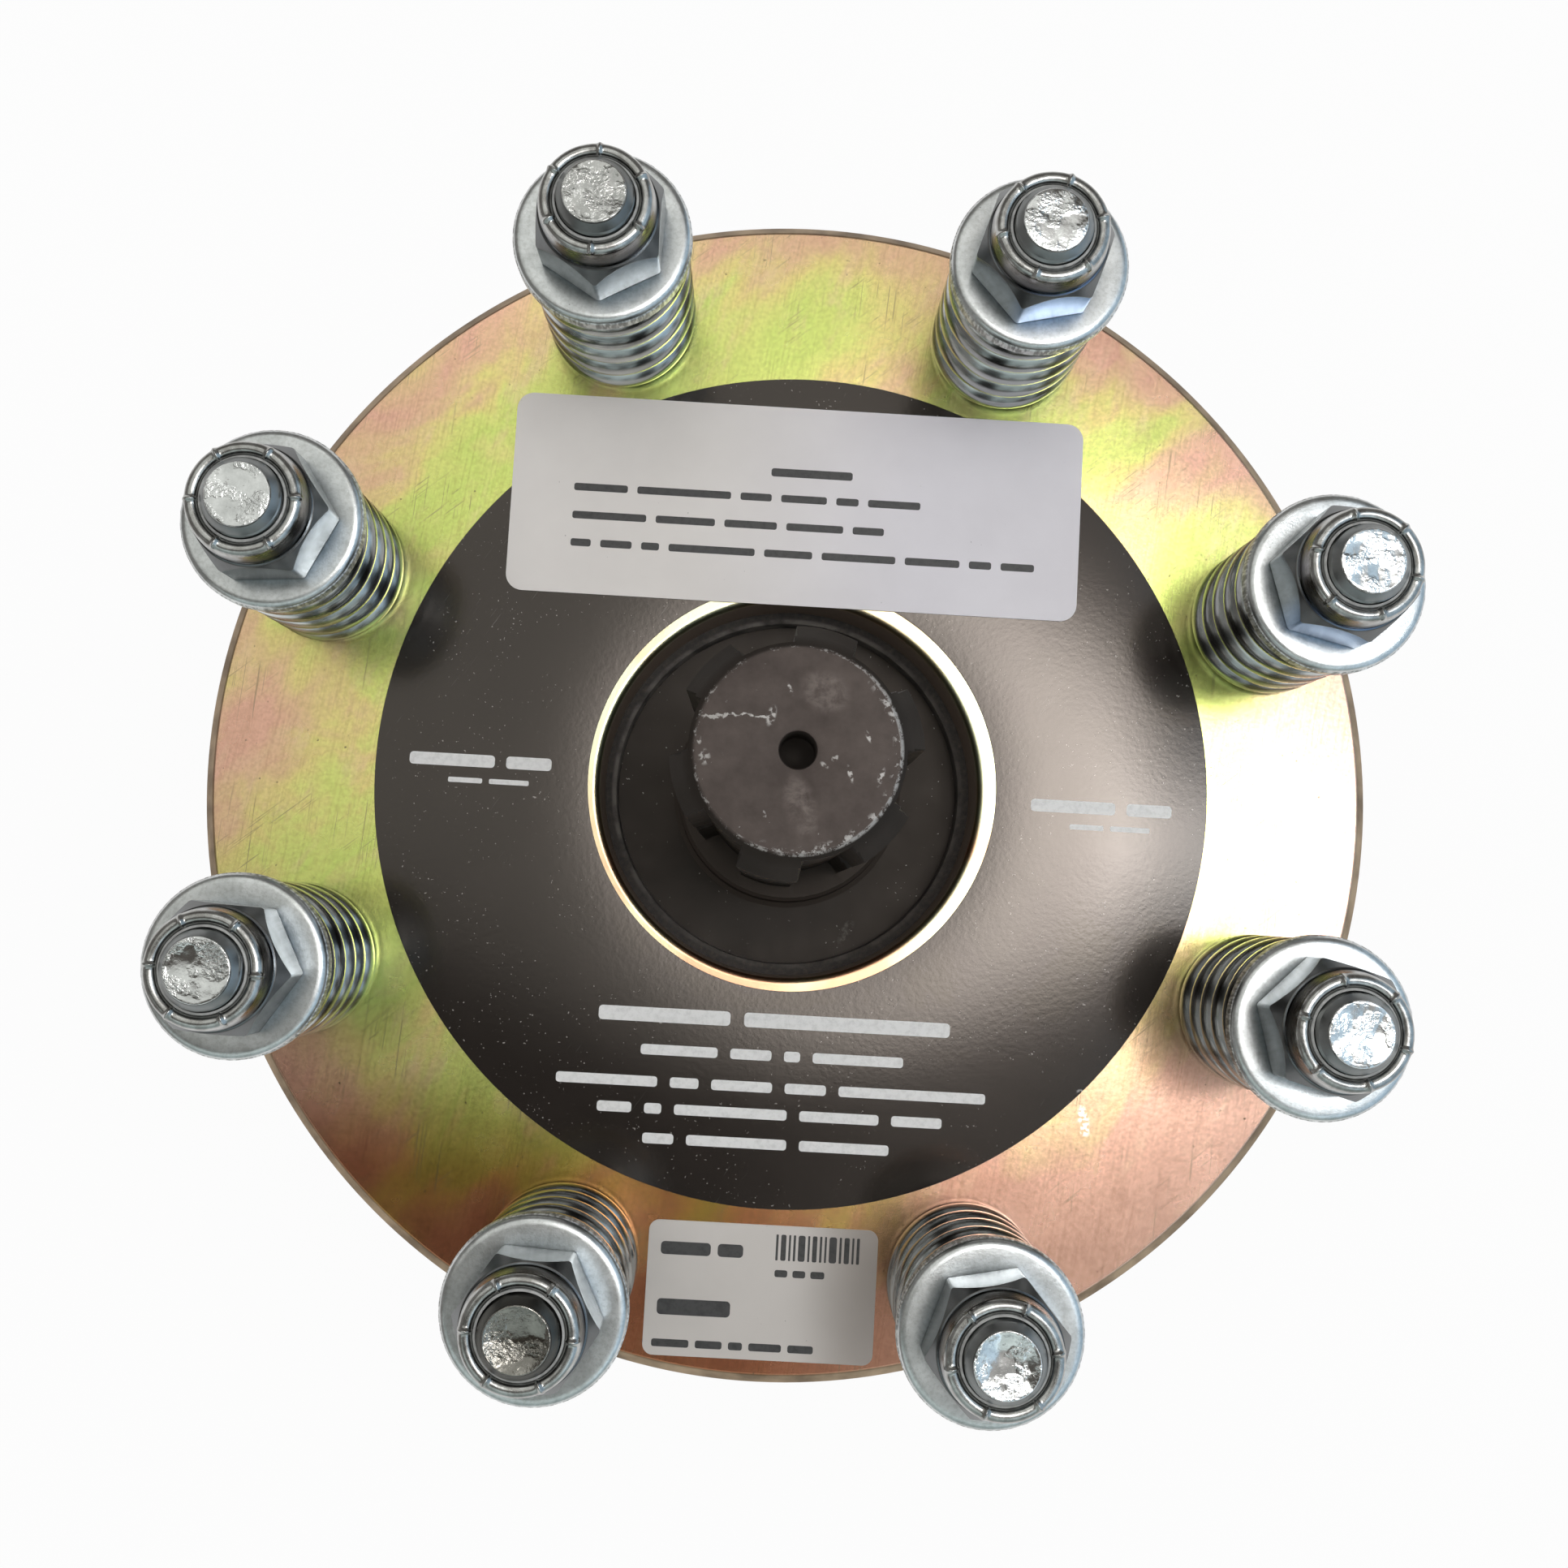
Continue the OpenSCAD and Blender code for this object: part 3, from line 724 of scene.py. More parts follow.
SMALL_LINES = [
    (2.2, -79.6, 4.4, 0.45, [0.4, 0.9, 0.35, 0.4, 1.2, 0.35, 0.8, 0.4, 0.35, 1.3, 0.4, 0.9, 0.35, 0.5]),
    (2.2, -84.0, 1.2, 0.9, [2.2, 2.2, 2.4]),
    (-17.7, -90.5, 2.7, 0.9, [12.6]),
    (-18.3, -96.6, 1.3, 1.1, [6.4, 4.6, 2.4, 5.6, 4.4]),
    (-17.6, -80.6, 2.2, 1.2, [8.6, 4.4]),
]
INK_T = 0.02


def bars(name, lines, low):
    """Flat bars a hair above a film, all in one mesh."""
    verts, faces = [], []
    for left, y, height, gap, lengths in lines:
        x = left
        for length in lengths:
            corner = min(0.3 * height, 0.3 * length, 0.7)
            outline = rounded_rectangle((x + length / 2, y), length, height, corner, 4)
            faces += prism_faces(len(outline), len(verts))
            verts += [(px, py, z) for z in (low, low + INK_T) for px, py in outline]
            x += length + gap
    return make_object(name, verts, faces)


def label(name, sizes, low):
    return prism(name, rounded_rectangle(**sizes), low, low + FILM_T)


# Materials

class Shader:
    """A node material under construction. Its methods return sockets, and coordinates are in millimetres."""

    def __init__(self, name, **surface):
        self.material = bpy.data.materials.new(name)
        self.material.use_nodes = True
        self.tree = self.material.node_tree
        self.surface = self.tree.nodes["Principled BSDF"]
        self.set(**surface)

    def set(self, **sockets):
        """Sets or links inputs of the surface shader, with spaces written as underscores."""
        for name, value in sockets.items():
            self.feed(self.surface.inputs[name.replace("_", " ")], value)

    def feed(self, socket, value):
        if isinstance(value, bpy.types.NodeSocket):
            self.tree.links.new(value, socket)
        elif isinstance(value, tuple) and len(value) == 3 and socket.type == "RGBA":
            socket.default_value = (*value, 1)
        else:
            socket.default_value = value

    def node(self, kind, inputs=(), **settings):
        made = self.tree.nodes.new("ShaderNode" + kind)
        for name, value in settings.items():
            setattr(made, name, value)
        for name, value in dict(inputs).items():
            self.feed(made.inputs[name], value)
        return made

    def show(self, node):
        """Makes a shader node the material's surface."""
        self.feed(self.tree.nodes["Material Output"].inputs["Surface"], node.outputs[0])

    def place(self):
        """Position on the part."""
        coordinates = self.node("TexCoord").outputs["Object"]
        return self.vector("SCALE", coordinates, Scale=1 / MM)

    def local(self):
        """Position on the piece itself, before it was put in its place."""
        return self.node("Attribute", attribute_name="local").outputs["Vector"]

    def vector(self, operation, a, b=None, **more):
        made = self.node("VectorMath", {0: a, **more}, operation=operation)
        if b is not None:
            self.feed(made.inputs[1], b)
        return made.outputs["Value" if operation == "LENGTH" else "Vector"]

    def math(self, operation, a, b=0.0):
        return self.node("Math", {0: a, 1: b}, operation=operation).outputs[0]

    def radius(self, place):
        """Distance from the z axis."""
        return self.vector("LENGTH", self.vector("MULTIPLY", place, (1, 1, 0)))

    def axis(self, place, name):
        return self.node("SeparateXYZ", {0: place}).outputs[name]

    def noise(self, place, size, detail=2.0, roughness=0.5, distortion=0.0):
        """Soft noise with patches of about that size."""
        inputs = {"Vector": place, "Scale": 1 / size, "Detail": detail}
        return self.node("TexNoise", {**inputs, "Roughness": roughness, "Distortion": distortion}).outputs[0]

    def streaks(self, place, direction, along, across, detail=2.0):
        """Noise drawn out in a direction given in degrees."""
        return self.noise(self.drawn_out(place, direction, along / across), across, detail)

    def drawn_out(self, place, direction, stretch):
        """Coordinates in which patterns come out longer in a direction given in degrees."""
        inputs = {"Vector": place, "Rotation": (0, 0, math.radians(direction)), "Scale": (stretch, 1, 1)}
        return self.node("Mapping", inputs, vector_type="TEXTURE").outputs[0]

    def ramp(self, value, *stops):
        """Colour by value. Each stop is a position and a colour."""
        made = self.node("ValToRGB", {0: value})
        band = made.color_ramp
        while len(band.elements) < len(stops):
            band.elements.new(0.5)
        for element, (position, colour) in zip(band.elements, stops):
            element.position = position
            element.color = (*colour, 1)
        return made.outputs[0]

    def mask(self, value, low, high):
        """Smooth step from none at low to all at high."""
        inputs = {"Value": value, "From Min": low, "From Max": high}
        return self.node("MapRange", inputs, interpolation_type="SMOOTHSTEP").outputs[0]

    def span(self, value, low, high):
        """Value from 0 to 1 spread between low and high."""
        return self.node("MapRange", {"Value": value, "To Min": low, "To Max": high}).outputs[0]

    def mix(self, share, a, b, blend="MIX"):
        made = self.node("Mix", data_type="RGBA", blend_type=blend)
        for index, value in ((0, share), (6, a), (7, b)):
            self.feed(made.inputs[index], value)
        return made.outputs[2]

    def both(self, a, b):
        return self.math("MULTIPLY", a, b)

    def most(self, first, *others):
        """Largest of some values."""
        for other in others:
            first = self.math("MAXIMUM", first, other)
        return first

    def plus(self, first, *others):
        """Sum of some values."""
        for other in others:
            first = self.math("ADD", first, other)
        return first

    def bump(self, height, depth, normal=None):
        """Bump of that depth."""
        inputs = {"Height": height, "Strength": 1.0, "Distance": depth * MM}
        if normal is not None:
            inputs["Normal"] = normal
        return self.node("Bump", inputs).outputs[0]

    def near(self, place, centre, size, turn=0.0):
        """One inside an oval of that half size, fading out at its edge."""
        inputs = {"Vector": place, "Location": (*centre, 0), "Scale": (*size, 1)}
        inputs["Rotation"] = (0, 0, math.radians(turn))
        off = self.radius(self.node("Mapping", inputs, vector_type="TEXTURE").outputs[0])
        return self.mask(off, 1.0, 0.45)

    def dim(self, share, colour, tint):
        """Colour multiplied by a tint, as far as share says."""
        return self.mix(share, colour, tint, "MULTIPLY")

    def specks(self, place, size, share):
        """Small scattered specks that cover about that share of the surface."""
        return self.mask(self.noise(place, size, 1.0), 1 - share, 1 - share + 0.04)


def grey(level):
    return (level, level, level)


def yellow_zinc():
    """Yellow chromate on zinc: green inside, pink outwards, grainy and scratched, with painted shade darkening the
    front and the bore wall.
    """
    s = Shader("yellow_zinc")
    place = s.place()
    x, y, r = s.axis(place, "X"), s.axis(place, "Y"), s.radius(place)
    broad = s.noise(s.vector("ADD", s.drawn_out(place, 52, 1.7), (12, 40, 3)), 24, 3, 0.5, 0.8)
    outward = s.span(s.mask(r, 80, 102), 0.10, -0.17)
    toward_right = s.span(s.mask(s.math("SUBTRACT", s.both(x, 0.55), s.both(y, 0.83)), 25, 95), 0.03, -0.34)
    blotch = s.span(s.noise(s.drawn_out(place, 60, 1.4), 8, 4, 0.6, 0.6), -0.13, 0.13)
    tone = s.plus(broad, outward, toward_right, blotch)
    colour = s.ramp(
        tone,
        (0.28, (0.78, 0.46, 0.34)),
        (0.40, (0.78, 0.54, 0.32)),
        (0.50, (0.79, 0.67, 0.27)),
        (0.58, (0.72, 0.74, 0.24)),
        (0.70, (0.64, 0.73, 0.21)),
        (0.82, (0.77, 0.70, 0.28)),
    )
    cloud = s.noise(s.vector("ADD", s.drawn_out(place, 66, 2.2), (31, 7, 0)), 6, 5, 0.6)
    colour = s.mix(s.both(s.mask(cloud, 0.50, 0.75), 0.5), colour, (0.82, 0.58, 0.40))
    # Painted shade: the front of the plate, toward the lower left, is dimmed to a darker tone.
    front_painted_shade = s.both(s.mask(y, -50, -72), s.mask(x, 50, -8))
    colour = s.dim(front_painted_shade, colour, (0.62, 0.40, 0.28))
    grain = s.noise(place, 0.7, 4, 0.65)
    colour = s.dim(s.mask(grain, 0.6, 0.36), colour, (0.90, 0.89, 0.87))
    brushed = s.streaks(place, 82, 14, 0.3, 3)
    colour = s.dim(s.mask(brushed, 0.5, 0.3), colour, (0.92, 0.91, 0.89))
    colour = s.dim(s.mask(brushed, 0.58, 0.76), colour, (1.06, 1.06, 1.07))
    colour = s.mix(s.both(s.specks(place, 0.8, 0.23), 0.75), colour, (0.16, 0.11, 0.06))
    along = s.mask(s.streaks(place, 86, 18, 0.25, 1), 0.66, 0.70)
    across = s.mask(s.streaks(s.vector("ADD", place, (40, 9, 0)), 40, 9, 0.25, 1), 0.67, 0.71)
    where = s.mask(s.noise(s.vector("ADD", place, (5, 60, 9)), 14, 2), 0.50, 0.60)
    scratched = s.both(s.most(along, across), where)
    colour = s.mix(s.both(scratched, 0.55), colour, (0.30, 0.24, 0.15))
    scuff = s.both(s.near(place, (54.6, -55.5), (1.2, 3.6), 10), s.mask(s.noise(place, 0.7, 3), 0.46, 0.56))
    colour = s.mix(scuff, colour, (0.9, 0.88, 0.85))
    rim = s.mask(r, PLATE_R - RIM_CHAMFER - 0.3, PLATE_R - RIM_CHAMFER + 0.2)
    rim_colour = s.ramp(s.noise(place, 6, 4), (0.35, (0.20, 0.14, 0.085)), (0.65, (0.42, 0.31, 0.2)))
    colour = s.mix(rim, colour, rim_colour)
    mouth = s.mask(r, LIP_R + 0.2, LIP_R - 0.2)
    around = s.plus(s.noise(place, 14, 2), s.span(s.mask(y, -36, 10), -0.1, 0.05))
    tinge = s.ramp(around, (0.36, (0.72, 0.40, 0.24)), (0.5, (0.74, 0.57, 0.35)), (0.64, (0.72, 0.72, 0.48)))
    colour = s.mix(mouth, colour, tinge)
    # Painted shade: deeper in the bore, the wall turns a dark, warm, non-metallic colour.
    inside = s.both(mouth, s.mask(s.axis(place, "Z"), PLATE_TOP - 0.9, PLATE_TOP - 2.2))
    colour = s.mix(inside, colour, (0.22, 0.165, 0.128))
    rough = s.span(s.noise(place, 9, 4), 0.20, 0.32)
    rough = s.mix(mouth, rough, grey(0.28))
    rough = s.mix(s.most(rim, inside), rough, grey(0.44))
    s.set(
        Base_Color=colour,
        Metallic=s.span(inside, 1.0, 0.0),
        Specular_IOR_Level=s.span(inside, 0.5, 0.1),
        Roughness=rough,
        Normal=s.bump(brushed, 0.006, s.bump(grain, 0.012)),
    )
    return s.material


def zinc(name, light, dark):
    """Start of a bright zinc plate: its shader, the coordinates and a patchy tint."""
    s = Shader(name, Metallic=1.0)
    place = s.place()
    return s, place, s.ramp(s.noise(place, 3.0, 4, 0.6), (0.34, dark), (0.66, light))


def zinc_washer():
    """Stamped washer: matt speckled grain on top, torn metal on the sheared band."""
    s, place, tint = zinc("zinc_washer", (0.68, 0.695, 0.69), (0.53, 0.545, 0.54))
    local = s.local()
    tint = s.dim(s.mask(s.noise(place, 0.6, 4, 0.65), 0.56, 0.38), tint, (0.87, 0.87, 0.86))
    tint = s.mix(s.both(s.specks(place, 0.5, 0.22), 0.6), tint, (0.92, 0.93, 0.92))
    tint = s.mix(s.both(s.specks(s.vector("ADD", place, (9, 4, 2)), 0.6, 0.2), 0.8), tint, (0.16, 0.155, 0.15))
    side = s.mask(s.radius(local), WASHER_R - 0.3, WASHER_R - 0.12)
    sheared = s.both(side, s.mask(s.axis(local, "Z"), WASHER_T * 0.78, WASHER_T * 0.68))
    tears = s.noise(s.node("Mapping", {"Vector": local, "Scale": (1, 1, 0.25)}).outputs[0], 0.5, 3)
    colour = s.mix(sheared, tint, s.ramp(tears, (0.4, (0.40, 0.395, 0.38)), (0.6, (0.90, 0.90, 0.88))))
    rough = s.span(s.noise(place, 2.1, 3), 0.24, 0.38)
    s.set(
        Base_Color=colour,
        Roughness=s.mix(sheared, rough, grey(0.55)),
        Normal=s.bump(s.noise(place, 0.28, 2), 0.016),
    )
    return s.material


def zinc_nut():
    """Zinc with a darker chamfer, a pale crimped collar, painted shade in its neck and a painted blue reflection on
    a flat of two nuts.
    """
    s, place, tint = zinc("zinc_nut", (0.26, 0.30, 0.33), (0.18, 0.21, 0.23))
    local = s.local()
    z = s.axis(local, "Z")
    past = s.math("ADD", z, s.both(s.math("SUBTRACT", s.radius(local), NUT_CUT_R), NUT_CUT_SLOPE))
    upper = s.mask(past, NUT_HEX_H - 0.22, NUT_HEX_H - 0.08)
    colour = s.mix(s.both(upper, 0.7), tint, (0.13, 0.12, 0.11))
    # Painted reflection: one flat of nuts 1 and 2 is tinted the blue of the window it faces.
    blue = s.most(*[
        s.near(place, at_bolt(n).translation.xy + Vector(middle), (9, 6), turn)
        for n, middle, turn in ((1, (-2.9, -9.0), -18), (2, (2.9, -9.0), 18))
    ])
    colour = s.mix(s.both(blue, s.mask(upper, 0.85, 0.0)), colour, (0.22, 0.33, 0.52))
    # Painted shade in the crease where the collar meets the hex.
    neck = s.both(s.mask(z, NUT_HEX_H - 0.25, NUT_HEX_H + 0.1), s.mask(z, NUT_HEX_H + 1.9, NUT_HEX_H + 0.8))
    collar = s.mask(z, NUT_HEX_H + 1.4, NUT_H - 0.9)
    pale = s.ramp(s.noise(place, 1.6, 4), (0.36, (0.36, 0.35, 0.33)), (0.64, (0.56, 0.56, 0.54)))
    colour = s.mix(s.both(collar, 0.8), colour, pale)
    colour = s.mix(s.both(neck, 0.6), colour, (0.06, 0.05, 0.042))
    s.set(
        Base_Color=colour,
        Roughness=s.mix(collar, s.mix(upper, grey(0.2), grey(0.32)), grey(0.25)),
        Normal=s.bump(s.noise(place, 0.5, 2), 0.012),
    )
    return s.material


def zinc_spring():
    """Zinc on drawn wire, with faint lines along the wire and darker, glossier patches in places."""
    s = Shader("zinc_spring", Metallic=1.0)
    local = s.local()
    drawn = s.node("Mapping", {"Vector": local, "Scale": (0.04, 1, 1)}).outputs[0]
    lines = s.noise(drawn, 0.45, 3)
    patches = s.noise(s.node("Mapping", {"Vector": local, "Scale": (0.35, 1, 1)}).outputs[0], 3.2, 3)
    colour = s.ramp(patches, (0.36, (0.28, 0.28, 0.27)), (0.5, (0.52, 0.54, 0.53)), (0.66, (0.66, 0.68, 0.67)))
    s.set(
        Base_Color=s.mix(s.both(s.mask(lines, 0.5, 0.7), 0.35), colour, (0.78, 0.79, 0.78)),
        Roughness=s.span(patches, 0.12, 0.34),
        Normal=s.bump(lines, 0.02),
    )
    return s.material


def zinc_bolt():
    """Zinc on a cold-headed bolt: bright hammered free end, darker bevel and thread."""
    s, place, tint = zinc("zinc_bolt", (0.78, 0.79, 0.78), (0.56, 0.57, 0.56))
    r, z = s.radius(s.local()), s.axis(place, "Z")
    end = s.both(s.mask(z, BOLT_TOP - 1.2, BOLT_TOP - 0.9), s.mask(r, BOLT_END_R + 0.1, BOLT_END_R - 0.1))
    hammered = s.noise(place, 0.5, 3, 0.55, 0.3)
    struck = s.span(s.mask(s.noise(place, 3.2, 2), 0.42, 0.58), 0.06, 0.42)
    dents = s.plus(s.both(hammered, struck), s.both(s.noise(place, 4.5, 1), 1.5))
    stained = s.both(s.mask(s.noise(place, 1.1, 4, 0.7), 0.6, 0.7), end)
    colour = s.mix(s.both(stained, 0.6), tint, (0.25, 0.24, 0.23))
    colour = s.mix(s.both(s.mask(end, 1.0, 0.0), 0.8), colour, (0.17, 0.178, 0.178))
    # Painted dark reflection: the ends of bolts 6 and 3 are dimmed to stand for the dark surroundings they mirror.
    low_left, top_left = (at_bolt(n).translation[:2] for n in (6, 3))
    painted_dark_reflection = s.most(s.near(place, low_left, (14, 14)), s.both(s.near(place, top_left, (14, 14)), 0.45))
    colour = s.dim(painted_dark_reflection, colour, (0.36, 0.34, 0.31))
    s.set(Base_Color=colour, Roughness=s.span(end, 0.36, 0.13), Normal=s.bump(s.both(dents, end), 0.36))
    return s.material


def dusty_black(name, base, rough, dust=0.26, dust_size=0.7):
    """Black paint or film with a soft mottle and pale dust specks."""
    s = Shader(name)
    place = s.place()
    mottle = s.noise(place, 14, 4, 0.6)
    colour = s.mix(s.both(s.mask(mottle, 0.42, 0.7), 0.5), base, tuple(1.7 * c for c in base))
    specks = s.both(s.specks(place, dust_size, dust), s.mask(s.noise(place, 11, 2), 0.42, 0.56))
    colour = s.mix(specks, colour, (0.36, 0.34, 0.32))
    s.set(
        Base_Color=colour,
        Roughness=s.span(s.noise(place, 5, 4), rough[0], rough[1]),
        Specular_Tint=(1.0, 0.89, 0.80),
        Normal=s.bump(s.noise(place, 0.8, 3), 0.012),
    )
    return s, place, colour


def black_paint():
    """Black paint with a painted shadow at the base of the shaft, and a pale smear beside it."""
    s, place, colour = dusty_black("black_paint", (0.020, 0.0155, 0.0125), (0.4, 0.6), 0.26)
    # Painted shadow: the shaft's shadow on the paint, at the lower left of its base.
    painted_foot_shading = s.both(s.near(place, (-3, -17), (26, 18)), 0.75)
    colour = s.dim(painted_foot_shading, colour, grey(0.3))
    smear = s.both(s.near(place, (12.3, -25.4), (1.3, 3.6), -22), s.mask(s.noise(place, 1.6, 4, 0.7), 0.45, 0.7))
    s.set(Base_Color=s.mix(s.both(smear, 0.5), colour, (0.2, 0.185, 0.17)), Specular_IOR_Level=0.35)
    return s.material


def black_film():
    """Satin black film with fine scuffs, dust and one torn spot at its edge."""
    s, place, colour = dusty_black("black_film", (0.0115, 0.0090, 0.0079), (0.165, 0.195), 0.27, 0.5)
    scuffs = s.both(s.mask(s.streaks(place, 58, 9, 0.25, 2), 0.70, 0.76), s.mask(s.noise(place, 24, 2), 0.5, 0.62))
    colour = s.mix(scuffs, colour, (0.12, 0.115, 0.11))
    torn = s.both(s.near(place, (53.9, -51.2), (1.0, 1.7), 15), s.mask(s.noise(place, 0.7, 3), 0.46, 0.56))
    s.set(Base_Color=s.mix(torn, colour, (0.85, 0.84, 0.82)), Specular_IOR_Level=0.85)
    return s.material


# Chipped spots on the shaft's end: centre, half size and turn in degrees
SHAFT_NICKS = [
    ((5.0, -0.8), (0.7, 0.5), 40),
    ((7.1, -2.8), (0.4, 1.5), 18),
    ((3.6, -1.8), (0.8, 0.4), -35),
    ((9.2, 2.4), (0.35, 1.2), 28),
    ((-1.5, 8.1), (0.35, 1.1), 25),
    ((-12.4, -1.6), (1.0, 1.3), 0),
    ((-13.2, 0.6), (0.4, 0.7), 0),
    ((9.4, 9.3), (0.8, 0.4), -40),
    ((11.2, -3.0), (0.5, 1.6), -15),
    ((-4.0, -8.8), (0.3, 0.7), 20),
]


def worn_black():
    """Black paint on the shaft, with a rubbed and scratched end whose edge is worn to bare steel."""
    s, place, colour = dusty_black("worn_black", (0.019, 0.0150, 0.0124), (0.42, 0.58), 0.2, 0.5)
    x, y, z = (s.axis(place, name) for name in "XYZ")
    r = s.radius(place)
    at_end = s.mask(z, SHAFT_TOP - 0.6, SHAFT_TOP - 0.2)
    # Painted shade: the shaft's sides darken further down, toward the drive plate.
    colour = s.dim(s.mask(z, SHAFT_TOP - 8, SHAFT_TOP - 48), colour, (0.35, 0.33, 0.31))
    # Painted light: the shank's base is lifted to a paler black, softening the ring of shade where it meets the
    # drive plate.
    painted_foot_shading = s.mask(z, DRIVE_TOP + SHANK_H + 1.5, DRIVE_TOP + SHANK_H - 0.5)
    colour = s.mix(painted_foot_shading, colour, (0.045, 0.036, 0.030))
    mottle = s.noise(place, 6, 5, 0.6)
    colour = s.mix(at_end, colour, s.ramp(mottle, (0.34, (0.075, 0.060, 0.054)), (0.66, (0.118, 0.096, 0.086))))
    rub = s.most(s.near(place, (0.8, -7.5), (2.6, 5.5), 20), s.near(place, (3.2, 8.0), (4.2, 3.4), -30))
    rub = s.both(s.both(rub, at_end), s.mask(s.noise(place, 2.2, 6, 0.65, 0.4), 0.34, 0.74))
    colour = s.mix(s.both(rub, 0.7), colour, (0.25, 0.21, 0.19))
    wander = s.both(s.math("SUBTRACT", s.noise(place, 2.6, 4, 0.6), 0.5), 4.5)
    off = s.math("ABSOLUTE", s.math("SUBTRACT", y, s.plus(s.both(x, 0.155), 5.4, wander)))
    line = s.both(s.mask(off, 0.30, 0.12), s.both(s.mask(x, -13.4, -12.6), s.mask(x, -3.6, -4.4)))
    chip = s.both(s.near(place, (-3.8, 4.4), (0.75, 1.7), -14), s.mask(s.noise(place, 0.7, 3), 0.44, 0.54))
    scratch = s.both(s.most(s.both(line, s.mask(s.noise(place, 0.9, 3), 0.38, 0.5)), chip), at_end)
    edge = s.both(s.mask(r, SHAFT_END_R - 0.42, SHAFT_END_R - 0.2), s.mask(z, SHAFT_TOP - 0.6, SHAFT_TOP - 0.4))
    toward_right = s.mask(s.math("SUBTRACT", x, s.both(y, 0.6)), -9, 9)
    flakes = s.mask(s.plus(s.noise(place, 1.1, 5, 0.75), s.span(toward_right, -0.04, 0.07)), 0.50, 0.60)
    outer = s.both(at_end, s.mask(r, SHAFT_END_R - 6, SHAFT_END_R - 1))
    nicks = s.both(s.mask(s.noise(place, 0.8, 4, 0.7), 0.69, 0.74), outer)
    for centre, size, turn in SHAFT_NICKS:
        spot = s.both(s.near(place, centre, size, turn), s.mask(s.noise(place, 0.6, 3), 0.45, 0.60))
        nicks = s.most(nicks, s.both(spot, at_end))
    band = s.both(s.mask(r, SHAFT_END_R - 1.5, SHAFT_END_R - 0.5), s.both(at_end, s.mask(toward_right, 0.6, 1.0)))
    worn = s.both(band, s.mask(s.noise(place, 1.3, 4, 0.7), 0.53, 0.6))
    bare = s.most(s.both(edge, flakes), nicks, scratch, worn)
    hole = s.both(s.mask(r, CENTRE_HOLE_R + 0.1, CENTRE_HOLE_R - 0.1), s.mask(z, SHAFT_TOP - 0.4, SHAFT_TOP - 1.2))
    colour = s.mix(hole, colour, (0.07, 0.06, 0.053))
    s.set(
        Base_Color=s.mix(bare, colour, (0.40, 0.38, 0.36)),
        Metallic=s.both(bare, 0.5),
        Normal=s.bump(mottle, 0.1),
        Specular_IOR_Level=s.span(at_end, 0.18, 0.12),
    )
    return s.material


def friction_lining():
    """Moulded dark lining with coarse fibres, paler along its inner edge with dust, wear and painted light, most at
    the upper left.
    """
    s = Shader("friction_lining")
    place = s.place()
    fibre = s.noise(place, 0.9, 4, 0.65)
    colour = s.ramp(fibre, (0.35, (0.030, 0.025, 0.022)), (0.6, (0.058, 0.047, 0.039)), (0.74, (0.10, 0.08, 0.06)))
    r = s.radius(place)
    lip = s.mask(r, DISC_HOLE_R + 1.1, DISC_HOLE_R + 0.5)
    # The paler lip is part dust and wear, part painted light, strongest on the lit upper left.
    lit_upper_left = s.mask(s.math("SUBTRACT", s.axis(place, "Y"), s.axis(place, "X")), -10, 30)
    worn = s.both(s.mask(s.noise(place, 5, 4), 0.36, 0.62), s.span(lit_upper_left, 0.3, 1.0))
    colour = s.mix(s.both(lip, worn), colour, (0.17, 0.15, 0.13))
    s.set(Base_Color=colour, Roughness=s.span(fibre, 0.6, 0.85), Normal=s.bump(fibre, 0.1))
    return s.material


def nylon():
    """Grey nylon, a little glossy."""
    s = Shader("nylon")
    place = s.place()
    cloud = s.noise(place, 1.2, 3)
    s.set(
        Base_Color=s.ramp(cloud, (0.35, (0.33, 0.335, 0.325)), (0.65, (0.48, 0.485, 0.47))),
        Roughness=s.span(cloud, 0.28, 0.42),
        Normal=s.bump(cloud, 0.05),
    )
    return s.material


def bronze():
    """Sintered bronze, a little cloudy."""
    s = Shader("bronze", Metallic=1.0)
    place = s.place()
    cloud = s.noise(place, 4, 4)
    s.set(
        Base_Color=s.ramp(cloud, (0.35, (0.42, 0.27, 0.12)), (0.65, (0.62, 0.43, 0.2))),
        Roughness=s.span(cloud, 0.3, 0.45),
        Normal=s.bump(s.noise(place, 0.5, 2), 0.02),
    )
    return s.material


def label_film(name, light, dark, shade_from, shade_to, shade):
    """Pale label film: faint mottle, a little grime, slight waves, and painted light, a tint that grows along x."""
    s = Shader(name)
    place = s.place()
    cloud = s.noise(place, 21, 4, 0.55)
    colour = s.ramp(cloud, (0.3, dark), (0.7, light))
    # Painted light: the tint along x stands for light and shade across the film.
    colour = s.dim(s.mask(s.axis(place, "X"), shade_from, shade_to), colour, shade)
    grime = s.both(s.specks(place, 0.6, 0.23), s.mask(s.noise(place, 9, 2), 0.5, 0.62))
    s.set(
        Base_Color=s.mix(s.both(grime, 0.5), colour, (0.2, 0.19, 0.18)),
        Roughness=s.span(s.noise(place, 6, 3), 0.38, 0.5),
        Normal=s.bump(s.noise(place, 16, 2), 0.15),
    )
    return s.material


def ink(name, full, thin):
    """Printed ink, slightly uneven."""
    s = Shader(name)
    place = s.place()
    cover = s.noise(place, 1.1, 4, 0.7)
    s.set(
        Base_Color=s.ramp(cover, (0.3, thin), (0.55, full)),
        Roughness=s.span(cover, 0.4, 0.55),
        Normal=s.bump(cover, 0.01),
    )
    return s.material


# Dressing

def dress(piece, material, body, slot, *nodes):
    """Gives a piece its finish and body, and hides the CAD nodes that it stands for."""
    piece.data.materials.clear()
    piece.data.materials.append(material)
    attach(piece, body)
    if nodes:
        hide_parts(*nodes)


